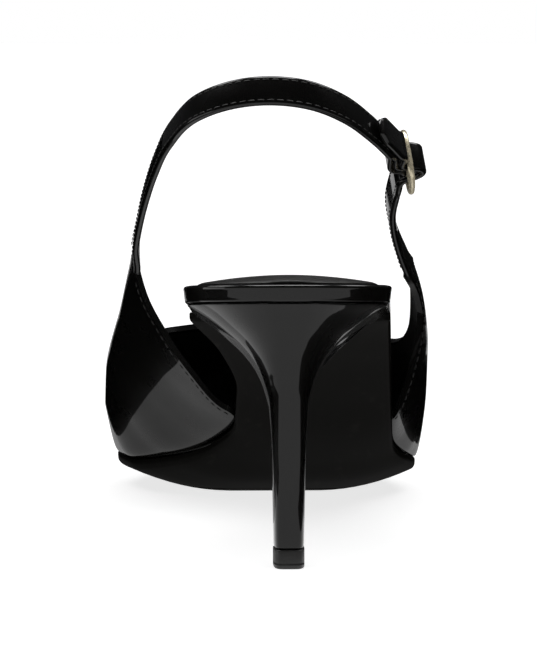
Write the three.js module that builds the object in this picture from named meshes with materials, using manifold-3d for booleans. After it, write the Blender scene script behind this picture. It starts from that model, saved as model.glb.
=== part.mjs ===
// Slingback pump, right shoe, empty and standing on its sole.
// Millimetres, +Z up, +Y towards the toe, +X to the outer (lateral) side of the foot.
// While the pieces are worked out, y is measured from the back of the heel seat and x from the
// middle of the seat. The group at the end moves the origin to the middle of the footprint.
import * as THREE from "three";
import { mergeVertices } from "three/addons/utils/BufferGeometryUtils.js";
import Module from "manifold-3d";

const wasm = await Module();
wasm.setup();

// Driving sizes
const LENGTH = 250;             // back of the seat to the toe tip, along the floor
const BALL_WIDTH = 84;          // width of the sole across the ball
const SEAT_WIDTH = 54;          // width of the heel seat
const HEEL_HEIGHT = 70;         // floor to the underside of the insole at the back of the seat
const INSTEP_HEIGHT = 60;       // ridge of the last above the feather line, where the wings stand
const WALL = 1.6;               // upper leather and lining together
const GAP = 0.3;                // clearance between pieces that touch
const SOLE_THICKNESS = 2.6;
const SOLE_EDGE_BEVEL = 0.7;
const RAND_THICKNESS = 4.4;     // covered edge of the insole round the seat
const SHANK_THICKNESS = 3.6;    // the same edge along the waist
const INSOLE_THICKNESS = 2;     // insole inside the upper
const PAD_CROWN = 2.9;          // heel pad at its middle
const PAD_EDGE = 0.5;
const PAD_INSET = 3.5;
const PAD_LENGTH = 58;
const SEAT_ROUND = 27;          // length of the rounded back of the seat
const HEEL_LENGTH = 48;         // seat back to the breast of the heel
const HEEL_INSET = 0.8;         // heel block inside the edge of the seat
const TIP_WIDTH = 7.8;
const TIP_LENGTH = 8.6;
const TIP_BACK = 9;             // how far forward of the seat back the heel tip begins
const TOP_PIECE_HEIGHT = 5;
const TOP_PIECE_LIP = 0.15;     // top piece stands this far outside the heel
const STRAP_WIDTH = 8;
const STRAP_THICKNESS = 1.8;
const SLING_HEIGHT = 124;       // floor to the middle of the sling at the back
const BUCKLE_LENGTH = 16.4;     // long way of the oval frame, across the strap
const BUCKLE_WIDTH = 14;        // short way, along the strap
const WIRE = 1.6;               // thickness of the buckle wire
const FOLD_THICKNESS = 1.2;     // skived end of the sling round the buckle bar
const FOLD_WIDTH = 6.4;
const FOLD_LENGTH = 14;         // bar to the end of the sling turned back inside
const SKIVE_LENGTH = 9;         // the sling thins and narrows over this length
const TIP_LAP = 17;             // strap end lying on the sling past the buckle
const TIP_ROUND = 4;            // length of the rounded strap end
const STRAP_LEAD = 3;           // the straps leave the wings straight over this length
const PRONG_THICKNESS = 1.2;
const PRONG_SLOT = 2.4;         // width of the slot in the fold
const HOLE_DIAMETER = 2.2;
const SPARE_HOLE = 5;           // from the rear rim to the next hole in the strap

// Colours
const PATENT_BLACK = 0x0b0b0a;
const SOLE_BLACK = 0x1a1917;
const PALE_GOLD = 0xd9cda8;

// Height of the walking surface of the sole, as shares of LENGTH and HEEL_HEIGHT.
const WALKING_LINE = [
  { at: 0.00, rise: 0.963 },
  { at: 0.10, rise: 0.917 },
  { at: 0.20, rise: 0.841 },
  { at: 0.30, rise: 0.680 },
  { at: 0.40, rise: 0.474 },
  { at: 0.48, rise: 0.289 },
  { at: 0.54, rise: 0.167 },
  { at: 0.60, rise: 0.054 },
  { at: 0.66, rise: 0 },
  { at: 0.71, rise: 0 },
  { at: 0.80, rise: 0.021 },
  { at: 0.90, rise: 0.066 },
  { at: 1.00, rise: 0.120 },
];

// How far the sole's edges rise above its middle, as a share of BALL_WIDTH.
const CAMBER = [
  { at: 0.00, rise: 0 },
  { at: 0.20, rise: 0.006 },
  { at: 0.40, rise: 0.018 },
  { at: 0.54, rise: 0.036 },
  { at: 0.60, rise: 0.063 },
  { at: 0.66, rise: 0.077 },
  { at: 0.72, rise: 0.077 },
  { at: 0.80, rise: 0.060 },
  { at: 0.90, rise: 0.036 },
  { at: 1.00, rise: 0.012 },
];

// Feather line of the last seen from above, as shares of LENGTH and BALL_WIDTH.
const OUTLINE = [
  { at: 0.108, medial: -0.321, lateral: 0.321 },
  { at: 0.20, medial: -0.296, lateral: 0.329 },
  { at: 0.30, medial: -0.200, lateral: 0.343 },
  { at: 0.40, medial: -0.139, lateral: 0.357 },
  { at: 0.48, medial: -0.140, lateral: 0.369 },
  { at: 0.54, medial: -0.206, lateral: 0.380 },
  { at: 0.60, medial: -0.343, lateral: 0.434 },
  { at: 0.66, medial: -0.474, lateral: 0.467 },
  { at: 0.72, medial: -0.512, lateral: 0.440 },
  { at: 0.80, medial: -0.435, lateral: 0.327 },
  { at: 0.88, medial: -0.300, lateral: 0.198 },
  { at: 0.95, medial: -0.176, lateral: 0.074 },
  { at: 1.00, medial: -0.042, lateral: -0.042 },
];

// Walls of the last: the outermost point on each side and the ridge. Sideways places are shares
// of BALL_WIDTH; the heights above the feather line are shares of INSTEP_HEIGHT.
const WALLS = [
  { at: 0.35, medial: -0.462, medialUp: 0.50, lateral: 0.390, lateralUp: 0.33, ridge: -0.024, ridgeUp: 1.05 },
  { at: 0.44, medial: -0.488, medialUp: 0.52, lateral: 0.473, lateralUp: 0.35, ridge: -0.036, ridgeUp: 1.00 },
  { at: 0.50, medial: -0.512, medialUp: 0.48, lateral: 0.488, lateralUp: 0.36, ridge: -0.048, ridgeUp: 0.93 },
  { at: 0.60, medial: -0.553, medialUp: 0.38, lateral: 0.495, lateralUp: 0.25, ridge: -0.083, ridgeUp: 0.777 },
  { at: 0.66, medial: -0.555, medialUp: 0.25, lateral: 0.497, lateralUp: 0.20, ridge: -0.095, ridgeUp: 0.667 },
  { at: 0.72, medial: -0.545, medialUp: 0.19, lateral: 0.469, lateralUp: 0.167, ridge: -0.095, ridgeUp: 0.545 },
  { at: 0.80, medial: -0.460, medialUp: 0.15, lateral: 0.352, lateralUp: 0.142, ridge: -0.089, ridgeUp: 0.433 },
  { at: 0.88, medial: -0.318, medialUp: 0.133, lateral: 0.214, lateralUp: 0.125, ridge: -0.071, ridgeUp: 0.350 },
  { at: 0.95, medial: -0.187, medialUp: 0.10, lateral: 0.083, lateralUp: 0.092, ridge: -0.054, ridgeUp: 0.250 },
  { at: 1.00, medial: -0.042, medialUp: 0, lateral: -0.042, lateralUp: 0, ridge: -0.042, ridgeUp: 0 },
];

// Topline from the strap end of each wing down its front edge to the throat, and the back edge
// of each wing from the sole up to the strap end. Shares of LENGTH and HEEL_HEIGHT.
const FRONT_EDGE = {
  medial: [
    { at: 0.407, up: 1.066 },
    { at: 0.488, up: 0.907 },
    { at: 0.560, up: 0.714 },
    { at: 0.608, up: 0.636 },
    { at: 0.640, up: 0.626 },
    { at: 0.664, up: 0.650 },
  ],
  lateral: [
    { at: 0.388, up: 1.057 },
    { at: 0.472, up: 0.893 },
    { at: 0.548, up: 0.707 },
    { at: 0.600, up: 0.629 },
    { at: 0.636, up: 0.621 },
    { at: 0.664, up: 0.650 },
  ],
};
const THROAT = 0.682;           // middle of the throat, as a share of LENGTH
const BACK_EDGE = {
  medial: [
    { at: 0.464, up: 0.406 },
    { at: 0.440, up: 0.536 },
    { at: 0.424, up: 0.700 },
    { at: 0.412, up: 0.857 },
    { at: 0.393, up: 0.963 },
  ],
  lateral: [
    { at: 0.468, up: 0.429 },
    { at: 0.450, up: 0.550 },
    { at: 0.436, up: 0.671 },
    { at: 0.420, up: 0.786 },
    { at: 0.398, up: 0.893 },
    { at: 0.372, up: 0.957 },
  ],
};
const WING_FOOT = { medial: 0.476, lateral: 0.484 };

// Heel block: how much of the way from the tip's outline to the seat's outline each level has
// gone, sideways, at the back and at the breast.
const HEEL_LEVELS = [
  { height: 0, side: 0, back: 0, breast: 0 },
  { height: 0.39, side: 0.024, back: 0.024, breast: 0.04 },
  { height: 0.61, side: 0.056, back: 0.12, breast: 0.11 },
  { height: 0.70, side: 0.120, back: 0.23, breast: 0.19 },
  { height: 0.775, side: 0.215, back: 0.35, breast: 0.29 },
  { height: 0.845, side: 0.370, back: 0.52, breast: 0.43 },
  { height: 0.902, side: 0.560, back: 0.68, breast: 0.59 },
  { height: 0.956, side: 0.775, back: 0.85, breast: 0.80 },
  { height: 1, side: 1, back: 1, breast: 1 },
];

// Middle line of the sling from the inner wing round the back of the heel to the buckle.
// x is a share of SEAT_WIDTH, y of LENGTH and z of SLING_HEIGHT.
const SLING_LINE = [
  { x: -0.713, y: 0.360, z: 0.622 },
  { x: -0.690, y: 0.300, z: 0.694 },
  { x: -0.660, y: 0.240, z: 0.760 },
  { x: -0.622, y: 0.184, z: 0.822 },
  { x: -0.562, y: 0.120, z: 0.890 },
  { x: -0.444, y: 0.062, z: 0.956 },
  { x: -0.270, y: 0.032, z: 0.990 },
  { x: -0.087, y: 0.020, z: 1.000 },
  { x: 0.098, y: 0.026, z: 0.989 },
  { x: 0.265, y: 0.048, z: 0.956 },
  { x: 0.396, y: 0.080, z: 0.910 },
  { x: 0.500, y: 0.122, z: 0.862 },
];

// Middle line of the buckle strap from the outer wing up to the buckle, in the same shares.
const STRAP_LINE = [
  { x: 0.583, y: 0.348, z: 0.610 },
  { x: 0.541, y: 0.304, z: 0.667 },
  { x: 0.524, y: 0.264, z: 0.718 },
  { x: 0.536, y: 0.226, z: 0.765 },
];

// The buckle's centre, in the same shares, and how its frame stands
const BUCKLE_CENTRE = { x: 0.585, y: 0.168, z: 0.825 };
const STRAP_PITCH = THREE.MathUtils.degToRad(28.5);   // slope of the sling along the ankle
const BUCKLE_LEAN = THREE.MathUtils.degToRad(8.5);    // top of the frame leans to the ankle

// Numbers of steps in the meshes
const PLATE_STEPS = 56;
const PLATE_ACROSS = 8;
const UPPER_ALONG = 60;
const UPPER_ACROSS = 11;
const HEEL_AROUND = 26;
const HEEL_BREAST_STEPS = 4;
const PAD_STEPS = 14;
const STRAP_STEP = 7;           // longest step along the straps
const STRAP_TURN = 0.20;        // most that a strap turns in one step, in radians
const FINE_STEP = 0.25;
const FRAME_STEPS = 36;
const WIRE_SIDES = 8;

// Shapes of small features, as shares
const PAD_SQUARENESS = 0.35;    // lower is squarer at the pad's ends
const TIP_BACK_ROUNDING = 0.75; // lower is squarer at the back and sides of the heel tip
const TIP_SIDE_ROUNDING = 0.55;
const STRAP_ROUNDING = 0.6;     // corner radius over half the strap's thickness
const LAP_GAP = 2.4;            // strap end lies this many clearances off the sling
const TIP_BLUNTNESS = 0.45;     // width left at the very end of the strap
const FRAME_SQUARENESS = 3;     // 2 is an ellipse

// Reading a table: a smooth line through its rows that never overshoots between them
function tableLine(rows, key, column, spacing = (value) => value) {
  const xs = rows.map((row) => spacing(row[key]));
  const ys = rows.map((row) => row[column]);
  const order = xs.map((_, i) => i).sort((a, b) => xs[a] - xs[b]);
  const px = order.map((i) => xs[i]);
  const py = order.map((i) => ys[i]);
  const count = px.length;
  const secants = [];
  for (let i = 0; i < count - 1; i++) {
    secants.push((py[i + 1] - py[i]) / (px[i + 1] - px[i]));
  }
  const slopes = [secants[0]];
  for (let i = 1; i < count - 1; i++) {
    const before = secants[i - 1];
    const after = secants[i];
    const turns = before * after <= 0;
    slopes.push(turns ? 0 : (2 * before * after) / (before + after));
  }
  slopes.push(secants[count - 2]);
  return (where) => {
    const x = THREE.MathUtils.clamp(spacing(where), px[0], px[count - 1]);
    let i = 0;
    while (i < count - 2 && x > px[i + 1]) i += 1;
    const width = px[i + 1] - px[i];
    const t = (x - px[i]) / width;
    const t2 = t * t;
    const t3 = t2 * t;
    return (2 * t3 - 3 * t2 + 1) * py[i] + (t3 - 2 * t2 + t) * width * slopes[i]
      + (3 * t2 - 2 * t3) * py[i + 1] + (t3 - t2) * width * slopes[i + 1];
  };
}

// The toe is round, so the last's widths run evenly with the root of the distance from the tip.
const fromToe = (at) => Math.sqrt(Math.max(0, 1 - at));

const walkingShare = tableLine(WALKING_LINE, "at", "rise");
const camberShare = tableLine(CAMBER, "at", "rise");
const medialShare = tableLine(OUTLINE, "at", "medial", fromToe);
const lateralShare = tableLine(OUTLINE, "at", "lateral", fromToe);
const wallShare = {};
for (const column of ["medial", "medialUp", "lateral", "lateralUp", "ridge", "ridgeUp"]) {
  wallShare[column] = tableLine(WALLS, "at", column, fromToe);
}

// Underside of the sole along its middle, and how much an edge point is lifted above it
const walkingHeight = (y) => walkingShare(y / LENGTH) * HEEL_HEIGHT;
const FLAT_SHARE = 0.3;         // middle part of the sole that stays flat across
function edgeLift(y, across) {
  const beyond = Math.max(0, (Math.abs(across) - FLAT_SHARE) / (1 - FLAT_SHARE));
  return camberShare(y / LENGTH) * BALL_WIDTH * beyond * beyond;
}
const soleTop = (y, across) => walkingHeight(y) + edgeLift(y, across) + SOLE_THICKNESS;
const featherHeight = (y) => soleTop(y, 1) + GAP * 2;

// Outline of the sole and insole at a station: x of the inner and the outer edge
function outline(y) {
  const at = Math.max(y / LENGTH, OUTLINE[0].at);
  const edges = [medialShare(at) * BALL_WIDTH, lateralShare(at) * BALL_WIDTH];
  if (y >= SEAT_ROUND) return edges;
  const short = 1 - y / SEAT_ROUND;
  const share = Math.sqrt(Math.max(0, 1 - Math.pow(short, 2.2)));
  return [-SEAT_WIDTH / 2 * share, SEAT_WIDTH / 2 * share];
}

// Surface of the last. girth runs from -1 at the inner feather line over the ridge at 0 to +1
// at the outer feather line.
function lastPoint(girth, y) {
  const at = y / LENGTH;
  const side = girth < 0 ? "medial" : "lateral";
  const [inner, outer] = outline(y);
  const foot = girth < 0 ? inner : outer;
  const wall = wallShare[side](at) * BALL_WIDTH;
  const wallUp = wallShare[side + "Up"](at) * INSTEP_HEIGHT;
  const ridge = wallShare.ridge(at) * BALL_WIDTH;
  const ridgeUp = wallShare.ridgeUp(at) * INSTEP_HEIGHT;
  const lowLength = Math.hypot(wall - foot, wallUp);
  const highLength = Math.PI / 2 * Math.hypot(wall - ridge, ridgeUp - wallUp) / Math.SQRT2;
  const turn = lowLength / Math.max(lowLength + highLength, 1e-9);
  const climb = 1 - Math.abs(girth);
  let x;
  let up;
  if (climb < turn) {
    const angle = climb / turn * Math.PI / 2;
    const straight = 1 - Math.cos(angle);
    x = foot + (wall - foot) * (Math.sin(angle) + straight) / 2;
    up = wallUp * straight;
  } else {
    const angle = (climb - turn) / (1 - turn) * Math.PI / 2;
    x = ridge + (wall - ridge) * Math.cos(angle);
    up = wallUp + (ridgeUp - wallUp) * Math.sin(angle);
  }
  return new THREE.Vector3(x, y, featherHeight(y) + up);
}

// The girth at which a station's wall reaches a height
function girthAt(side, y, z) {
  const sign = side === "medial" ? -1 : 1;
  let low = 0;
  let high = 1;
  for (let i = 0; i < 40; i++) {
    const middle = (low + high) / 2;
    if (lastPoint(sign * (1 - middle), y).z < z) low = middle;
    else high = middle;
  }
  return sign * (1 - (low + high) / 2);
}

// The upper's pattern is laid out flat round the toe tip: the distance from it is the root of
// the way back along the last, and the angle is the girth. The feather line is then a straight
// line through the tip, and the topline an arch over it.
function toPattern(girth, y) {
  const radius = fromToe(y / LENGTH);
  const angle = girth * Math.PI / 2;
  return new THREE.Vector2(radius * Math.sin(angle), radius * Math.cos(angle));
}
function fromPattern(point) {
  const radius = point.length();
  const girth = Math.atan2(point.x, Math.max(point.y, 0)) * 2 / Math.PI;
  return lastPoint(girth, LENGTH * (1 - radius * radius));
}
function edgePoints(rows, side) {
  return rows.map((row) => {
    const y = row.at * LENGTH;
    return toPattern(girthAt(side, y, row.up * HEEL_HEIGHT), y);
  });
}
// The short straight edge where a wing ends and its strap begins, from its back corner
function wingEndPoints(side, shares) {
  const back = BACK_EDGE[side][BACK_EDGE[side].length - 1];
  const front = FRONT_EDGE[side][0];
  const { lerp } = THREE.MathUtils;
  const rows = shares.map((t) => ({ at: lerp(back.at, front.at, t), up: lerp(back.up, front.up, t) }));
  return edgePoints(rows, side);
}

// Meshes
function meshGeometry(points, faces) {
  const positions = new Float32Array(points.length * 3);
  points.forEach((point, i) => point.toArray(positions, i * 3));
  let geometry = new THREE.BufferGeometry();
  geometry.setAttribute("position", new THREE.BufferAttribute(positions, 3));
  geometry.setIndex(faces);
  geometry = mergeVertices(geometry, 1e-3);
  const index = geometry.index.array;
  const kept = [];
  for (let i = 0; i < index.length; i += 3) {
    const [a, b, c] = [index[i], index[i + 1], index[i + 2]];
    if (a !== b && b !== c && c !== a) kept.push(a, b, c);
  }
  geometry.setIndex(kept);
  geometry.computeVertexNormals();
  return geometry;
}

// A closed shell between two grids of the same size; the front grid faces out
function shellBetween(front, back) {
  const rows = front.length;
  const columns = front[0].length;
  const points = [...front.flat(), ...back.flat()];
  const offset = rows * columns;
  const faces = [];
  const quad = (a, b, c, d) => faces.push(a, b, c, a, c, d);
  for (let i = 0; i < rows - 1; i++) {
    for (let j = 0; j < columns - 1; j++) {
      const a = i * columns + j;
      quad(a, a + columns, a + columns + 1, a + 1);
      quad(offset + a, offset + a + 1, offset + a + columns + 1, offset + a + columns);
    }
  }
  for (let i = 0; i < rows - 1; i++) {
    const a = i * columns;
    const b = a + columns - 1;
    quad(a, offset + a, offset + a + columns, a + columns);
    quad(b, b + columns, offset + b + columns, offset + b);
  }
  for (let j = 0; j < columns - 1; j++) {
    const b = (rows - 1) * columns + j;
    quad(j, j + 1, offset + j + 1, offset + j);
    quad(b, offset + b, offset + b + 1, b + 1);
  }
  return meshGeometry(points, faces);
}

// A closed tube through rings of points, each ring anticlockwise seen from its far side
function loft(rings) {
  const sides = rings[0].length;
  const points = rings.flat();
  const faces = [];
  for (let i = 0; i < rings.length - 1; i++) {
    for (let j = 0; j < sides; j++) {
      const a = i * sides + j;
      const b = i * sides + (j + 1) % sides;
      faces.push(a, b, b + sides, a, b + sides, a + sides);
    }
  }
  const last = (rings.length - 1) * sides;
  const shape = (start) => {
    const centre = new THREE.Vector3();
    for (let j = 0; j < sides; j++) centre.add(points[start + j]);
    return centre.divideScalar(sides);
  };
  points.push(shape(0), shape(last));
  for (let j = 0; j < sides; j++) {
    const next = (j + 1) % sides;
    faces.push(points.length - 2, next, j);
    faces.push(points.length - 1, last + j, last + next);
  }
  return meshGeometry(points, faces);
}

function toManifold(geometry) {
  const mesh = { numProp: 3, vertProperties: geometry.attributes.position.array };
  return new wasm.Manifold(new wasm.Mesh({ ...mesh, triVerts: new Uint32Array(geometry.index.array) }));
}
function fromManifold(solid) {
  const mesh = solid.getMesh();
  const geometry = new THREE.BufferGeometry();
  geometry.setAttribute("position", new THREE.BufferAttribute(new Float32Array(mesh.vertProperties), 3));
  geometry.setIndex(Array.from(mesh.triVerts));
  geometry.computeVertexNormals();
  return geometry;
}

function leather(color, roughness) {
  return new THREE.MeshStandardMaterial({ color, roughness, metalness: 0 });
}
function metal() {
  return new THREE.MeshStandardMaterial({ color: PALE_GOLD, roughness: 0.25, metalness: 1 });
}
function named(name, geometry, material) {
  const mesh = new THREE.Mesh(geometry, material);
  mesh.name = name;
  return mesh;
}

// Stations along the shoe, closer together at both rounded ends. Plates that lie on each other
// share them.
function stations(from, to) {
  const list = [from];
  for (let i = 1; i < PLATE_STEPS; i++) {
    const y = LENGTH * (1 - Math.cos(Math.PI * i / PLATE_STEPS)) / 2;
    if (y > from + 1 && y < to - 1) list.push(y);
  }
  return [...list, to];
}

// A plate between two heights. inset(y) draws its edge in from the outline.
function plate(from, to, inset, top, bottom, bevel) {
  const level = (height, extra) => stations(from, to).map((y) => {
    const [inner, outer] = outline(y);
    const middle = (inner + outer) / 2;
    const full = (outer - inner) / 2;
    const half = Math.max(0, full - inset(y) - extra);
    const row = [];
    for (let j = 0; j <= PLATE_ACROSS; j++) {
      const x = half * (2 * j / PLATE_ACROSS - 1);
      row.push(new THREE.Vector3(middle + x, y, height(y, full > 0 ? x / full : 0)));
    }
    return row;
  });
  return shellBetween(level(bottom, bevel), level(top, 0));
}

// Outsole, from the toe to the breast of the heel
function outsole() {
  const front = LENGTH - GAP;
  const bottom = (y, across) => walkingHeight(y) + edgeLift(y, across);
  const inset = () => 0;
  const geometry = plate(HEEL_LENGTH + GAP, front, inset, soleTop, bottom, SOLE_EDGE_BEVEL);
  return named("outsole", geometry, leather(SOLE_BLACK, 0.35));
}

// Insole: full width with a covered edge round the seat and waist, inside the upper in front
const insoleTaper = (y) => THREE.MathUtils.smoothstep(y / LENGTH, 0.40, 0.46);
function insoleThickness(y) {
  const waist = THREE.MathUtils.smoothstep(y / LENGTH, 0.16, 0.30);
  const back = THREE.MathUtils.lerp(RAND_THICKNESS, SHANK_THICKNESS, waist);
  return THREE.MathUtils.lerp(back, INSOLE_THICKNESS, insoleTaper(y));
}
function insole() {
  const front = LENGTH - WALL * 3;
  const inset = (y) => insoleTaper(y) * (WALL + 2 * GAP);
  const bottom = (y, across) => soleTop(y, across) + GAP;
  const top = (y, across) => bottom(y, across) + insoleThickness(y);
  const geometry = plate(0, front, inset, top, bottom, 0);
  return named("insole", geometry, leather(PATENT_BLACK, 0.4));
}

// Heel pad, a thin cushion that is thickest under the middle of the heel
function padSurface(crownHeight, edgeHeight) {
  const rows = [];
  for (let i = 0; i <= PAD_STEPS; i++) {
    const cosine = Math.cos(Math.PI * i / PAD_STEPS);
    const fullness = Math.sqrt(1 - cosine * cosine);
    const y = PAD_INSET + PAD_LENGTH * (1 - cosine) / 2;
    const [inner, outer] = outline(y);
    const middle = (inner + outer) / 2;
    const half = Math.max(0, (outer - inner) / 2 - PAD_INSET) * fullness ** PAD_SQUARENESS;
    const row = [];
    for (let j = 0; j <= PLATE_ACROSS; j++) {
      const across = 2 * j / PLATE_ACROSS - 1;
      const acrossSeat = across * half * 2 / (outer - inner);
      const seat = soleTop(y, acrossSeat) + GAP + insoleThickness(y) + GAP;
      const crown = (1 - across * across) * fullness;
      const height = seat + edgeHeight + (crownHeight - edgeHeight) * crown;
      row.push(new THREE.Vector3(middle + half * across, y, height));
    }
    rows.push(row);
  }
  return rows;
}
function heelPad() {
  const geometry = shellBetween(padSurface(0, 0), padSurface(PAD_CROWN, PAD_EDGE));
  return named("heel_pad", geometry, leather(PATENT_BLACK, 0.45));
}

// Upper: vamp and the two wings in one shell, open at the topline, at the back and underneath
function smoothLine(points, count) {
  const curve = new THREE.SplineCurve(points);
  curve.arcLengthDivisions = 400;
  return curve.getSpacedPoints(count);
}
function upperPattern() {
  const lateralFoot = toPattern(1, WING_FOOT.lateral * LENGTH);
  const medialFoot = toPattern(-1, WING_FOOT.medial * LENGTH);
  const backLateral = smoothLine([lateralFoot, ...edgePoints(BACK_EDGE.lateral, "lateral")], UPPER_ACROSS);
  const backMedial = smoothLine([medialFoot, ...edgePoints(BACK_EDGE.medial, "medial")], UPPER_ACROSS);
  const endShares = [0, 0.5];
  const frontLateral = edgePoints(FRONT_EDGE.lateral, "lateral");
  const frontMedial = edgePoints(FRONT_EDGE.medial, "medial");
  const throat = toPattern(0, THROAT * LENGTH);
  const arch = smoothLine(
    [...frontLateral, throat, ...frontMedial.reverse()],
    UPPER_ALONG - 2 * endShares.length,
  );
  const topline = [
    ...wingEndPoints("lateral", endShares),
    ...arch,
    ...wingEndPoints("medial", endShares).reverse(),
  ];
  const grid = [];
  for (let i = 0; i <= UPPER_ALONG; i++) {
    const s = i / UPPER_ALONG;
    const foot = lateralFoot.clone().lerp(medialFoot, s);
    const row = [];
    for (let j = 0; j <= UPPER_ACROSS; j++) {
      const t = j / UPPER_ACROSS;
      const point = foot.clone().lerp(topline[i], t);
      const pullLateral = backLateral[j].clone()
        .sub(lateralFoot.clone().lerp(topline[0], t)).multiplyScalar((1 - s) ** 8);
      const pullMedial = backMedial[j].clone()
        .sub(medialFoot.clone().lerp(topline[UPPER_ALONG], t)).multiplyScalar(s ** 8);
      row.push(point.add(pullLateral).add(pullMedial));
    }
    grid.push(row);
  }
  return grid;
}
function patternNormal(point) {
  const step = 2e-3;
  const moved = (dx, dy) => fromPattern(new THREE.Vector2(point.x + dx, Math.max(point.y + dy, 0)));
  const alongX = moved(step, 0).sub(moved(-step, 0));
  const alongY = moved(0, step).sub(moved(0, -step));
  return alongY.cross(alongX).normalize();
}
function upper() {
  const pattern = upperPattern();
  const outer = pattern.map((row) => row.map(fromPattern));
  const inner = pattern.map((row, i) => row.map((point, j) => {
    const normal = patternNormal(point);
    if (j === 0) normal.setZ(0).normalize();
    return outer[i][j].clone().addScaledVector(normal, -WALL);
  }));
  return named("upper", shellBetween(outer, inner), leather(PATENT_BLACK, 0.15));
}

// Heel block and top piece
const heelShare = {};
for (const column of ["side", "back", "breast"]) {
  heelShare[column] = tableLine(HEEL_LEVELS, "height", column);
}
function tipOutline(lip) {
  const list = [];
  for (let j = 0; j <= HEEL_AROUND; j++) {
    const angle = Math.PI * j / HEEL_AROUND;
    const round = Math.max(0, Math.sin(angle)) ** TIP_BACK_ROUNDING;
    const wide = Math.sign(Math.cos(angle)) * Math.abs(Math.cos(angle)) ** TIP_SIDE_ROUNDING;
    const x = -(TIP_WIDTH / 2 + lip) * wide;
    const y = TIP_BACK + TIP_LENGTH + lip - (TIP_LENGTH + 2 * lip) * round;
    list.push(new THREE.Vector2(x, y));
  }
  return list;
}
function seatOutline() {
  const list = [];
  for (let j = 0; j <= HEEL_AROUND; j++) {
    const angle = Math.PI * j / HEEL_AROUND;
    const y = HEEL_LENGTH * (1 - Math.sin(angle));
    const [inner, outer] = outline(y);
    const edge = angle < Math.PI / 2 ? inner : outer;
    const drawnIn = edge - Math.sign(edge) * Math.min(HEEL_INSET, Math.abs(edge));
    list.push(new THREE.Vector2(drawnIn, Math.max(y, HEEL_INSET)));
  }
  return list;
}
// The breast closes the outline in front, hollowed a little towards the back
function closedRing(list, height, hollow) {
  const ring = list.map((point) => new THREE.Vector3(point.x, point.y, height(point)));
  const first = list[0];
  const last = list[list.length - 1];
  for (let k = 1; k < HEEL_BREAST_STEPS; k++) {
    const t = k / HEEL_BREAST_STEPS;
    const point = last.clone().lerp(first, t);
    point.y -= hollow * Math.sin(Math.PI * t);
    ring.push(new THREE.Vector3(point.x, point.y, height(point)));
  }
  return ring;
}
function heel() {
  const tip = tipOutline(0);
  const seat = seatOutline();
  const start = TOP_PIECE_HEIGHT + GAP;
  const rings = [];
  const levels = 20;
  for (let i = 0; i <= levels; i++) {
    const h = Math.pow(i / levels, 0.8);
    const list = tip.map((from, j) => {
      const to = seat[j];
      const front = 1 - Math.sin(Math.PI * j / HEEL_AROUND);
      const along = THREE.MathUtils.lerp(heelShare.back(h), heelShare.breast(h), front);
      return new THREE.Vector2(
        THREE.MathUtils.lerp(from.x, to.x, heelShare.side(h)),
        THREE.MathUtils.lerp(from.y, to.y, along),
      );
    });
    const top = seat.map((point) => soleTop(point.y, 0));
    let j = 0;
    const height = () => {
      const reach = j < top.length ? top[j] : top[0];
      j += 1;
      return start + (reach - start) * h;
    };
    rings.push(closedRing(list, height, 1.2 + 5 * heelShare.side(h)));
  }
  return named("heel", loft(rings), leather(PATENT_BLACK, 0.15));
}
function topPiece() {
  const list = tipOutline(TOP_PIECE_LIP);
  const rings = [0, TOP_PIECE_HEIGHT].map((z) => closedRing(list, () => z, 0));
  return named("top_piece", loft(rings), leather(SOLE_BLACK, 0.6));
}

// Straps. Their width stands square to the slope of the sling and leans in towards the ankle.
const placeOn = (row) => new THREE.Vector3(row.x * SEAT_WIDTH, row.y * LENGTH, row.z * SLING_HEIGHT);
function standing(x) {
  const lean = -Math.tan(BUCKLE_LEAN) * THREE.MathUtils.clamp(x / (SEAT_WIDTH / 2), -1, 1);
  return new THREE.Vector3(lean, Math.sin(STRAP_PITCH), Math.cos(STRAP_PITCH)).normalize();
}
function strapFrame(line, i) {
  const before = line[Math.max(i - 1, 0)];
  const after = line[Math.min(i + 1, line.length - 1)];
  const along = i === 0 ? uphill.clone() : after.clone().sub(before).normalize();
  const up = standing(line[i].x);
  up.addScaledVector(along, -up.dot(along)).normalize();
  return { along, up, out: along.clone().cross(up) };
}
function strapSolid(line, thicknessAt, widthAt) {
  const rings = line.map((point, i) => {
    const { up, out } = strapFrame(line, i);
    const half = widthAt(i) / 2;
    const thick = thicknessAt(i) / 2;
    const round = Math.min(thick, half) * STRAP_ROUNDING;
    const corner = (a, b) => point.clone().addScaledVector(out, a).addScaledVector(up, b);
    return [
      corner(thick - round, -half), corner(round - thick, -half),
      corner(-thick, round - half), corner(-thick, half - round),
      corner(round - thick, half), corner(thick - round, half),
      corner(thick, half - round), corner(thick, round - half),
    ];
  });
  return loft(rings);
}
// A smooth line through the points, with steps that shorten where it turns
function bentLine(points) {
  const curve = new THREE.CatmullRomCurve3(points, false, "centripetal");
  curve.arcLengthDivisions = 600;
  const fine = curve.getSpacedPoints(Math.round(curve.getLength() / FINE_STEP));
  const kept = [fine[0]];
  let turned = 0;
  let gone = 0;
  for (let i = 1; i < fine.length - 1; i++) {
    const before = fine[i].clone().sub(fine[i - 1]);
    turned += before.angleTo(fine[i + 1].clone().sub(fine[i]));
    gone += before.length();
    if (turned > STRAP_TURN || gone > STRAP_STEP) {
      kept.push(fine[i]);
      turned = 0;
      gone = 0;
    }
  }
  return [...kept, fine[fine.length - 1]];
}
function lengthsAlong(line) {
  const lengths = [0];
  for (let i = 1; i < line.length; i++) {
    lengths.push(lengths[i - 1] + line[i].distanceTo(line[i - 1]));
  }
  return lengths;
}

// The straps start where the wings end, in the middle of the wall
function wingEnd(side) {
  const [middle] = wingEndPoints(side, [0.5]);
  return fromPattern(middle).addScaledVector(patternNormal(middle), -WALL / 2);
}
function strapStart(side) {
  return [GAP * 2, STRAP_LEAD].map((far) => wingEnd(side).addScaledVector(uphill, far));
}

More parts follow.
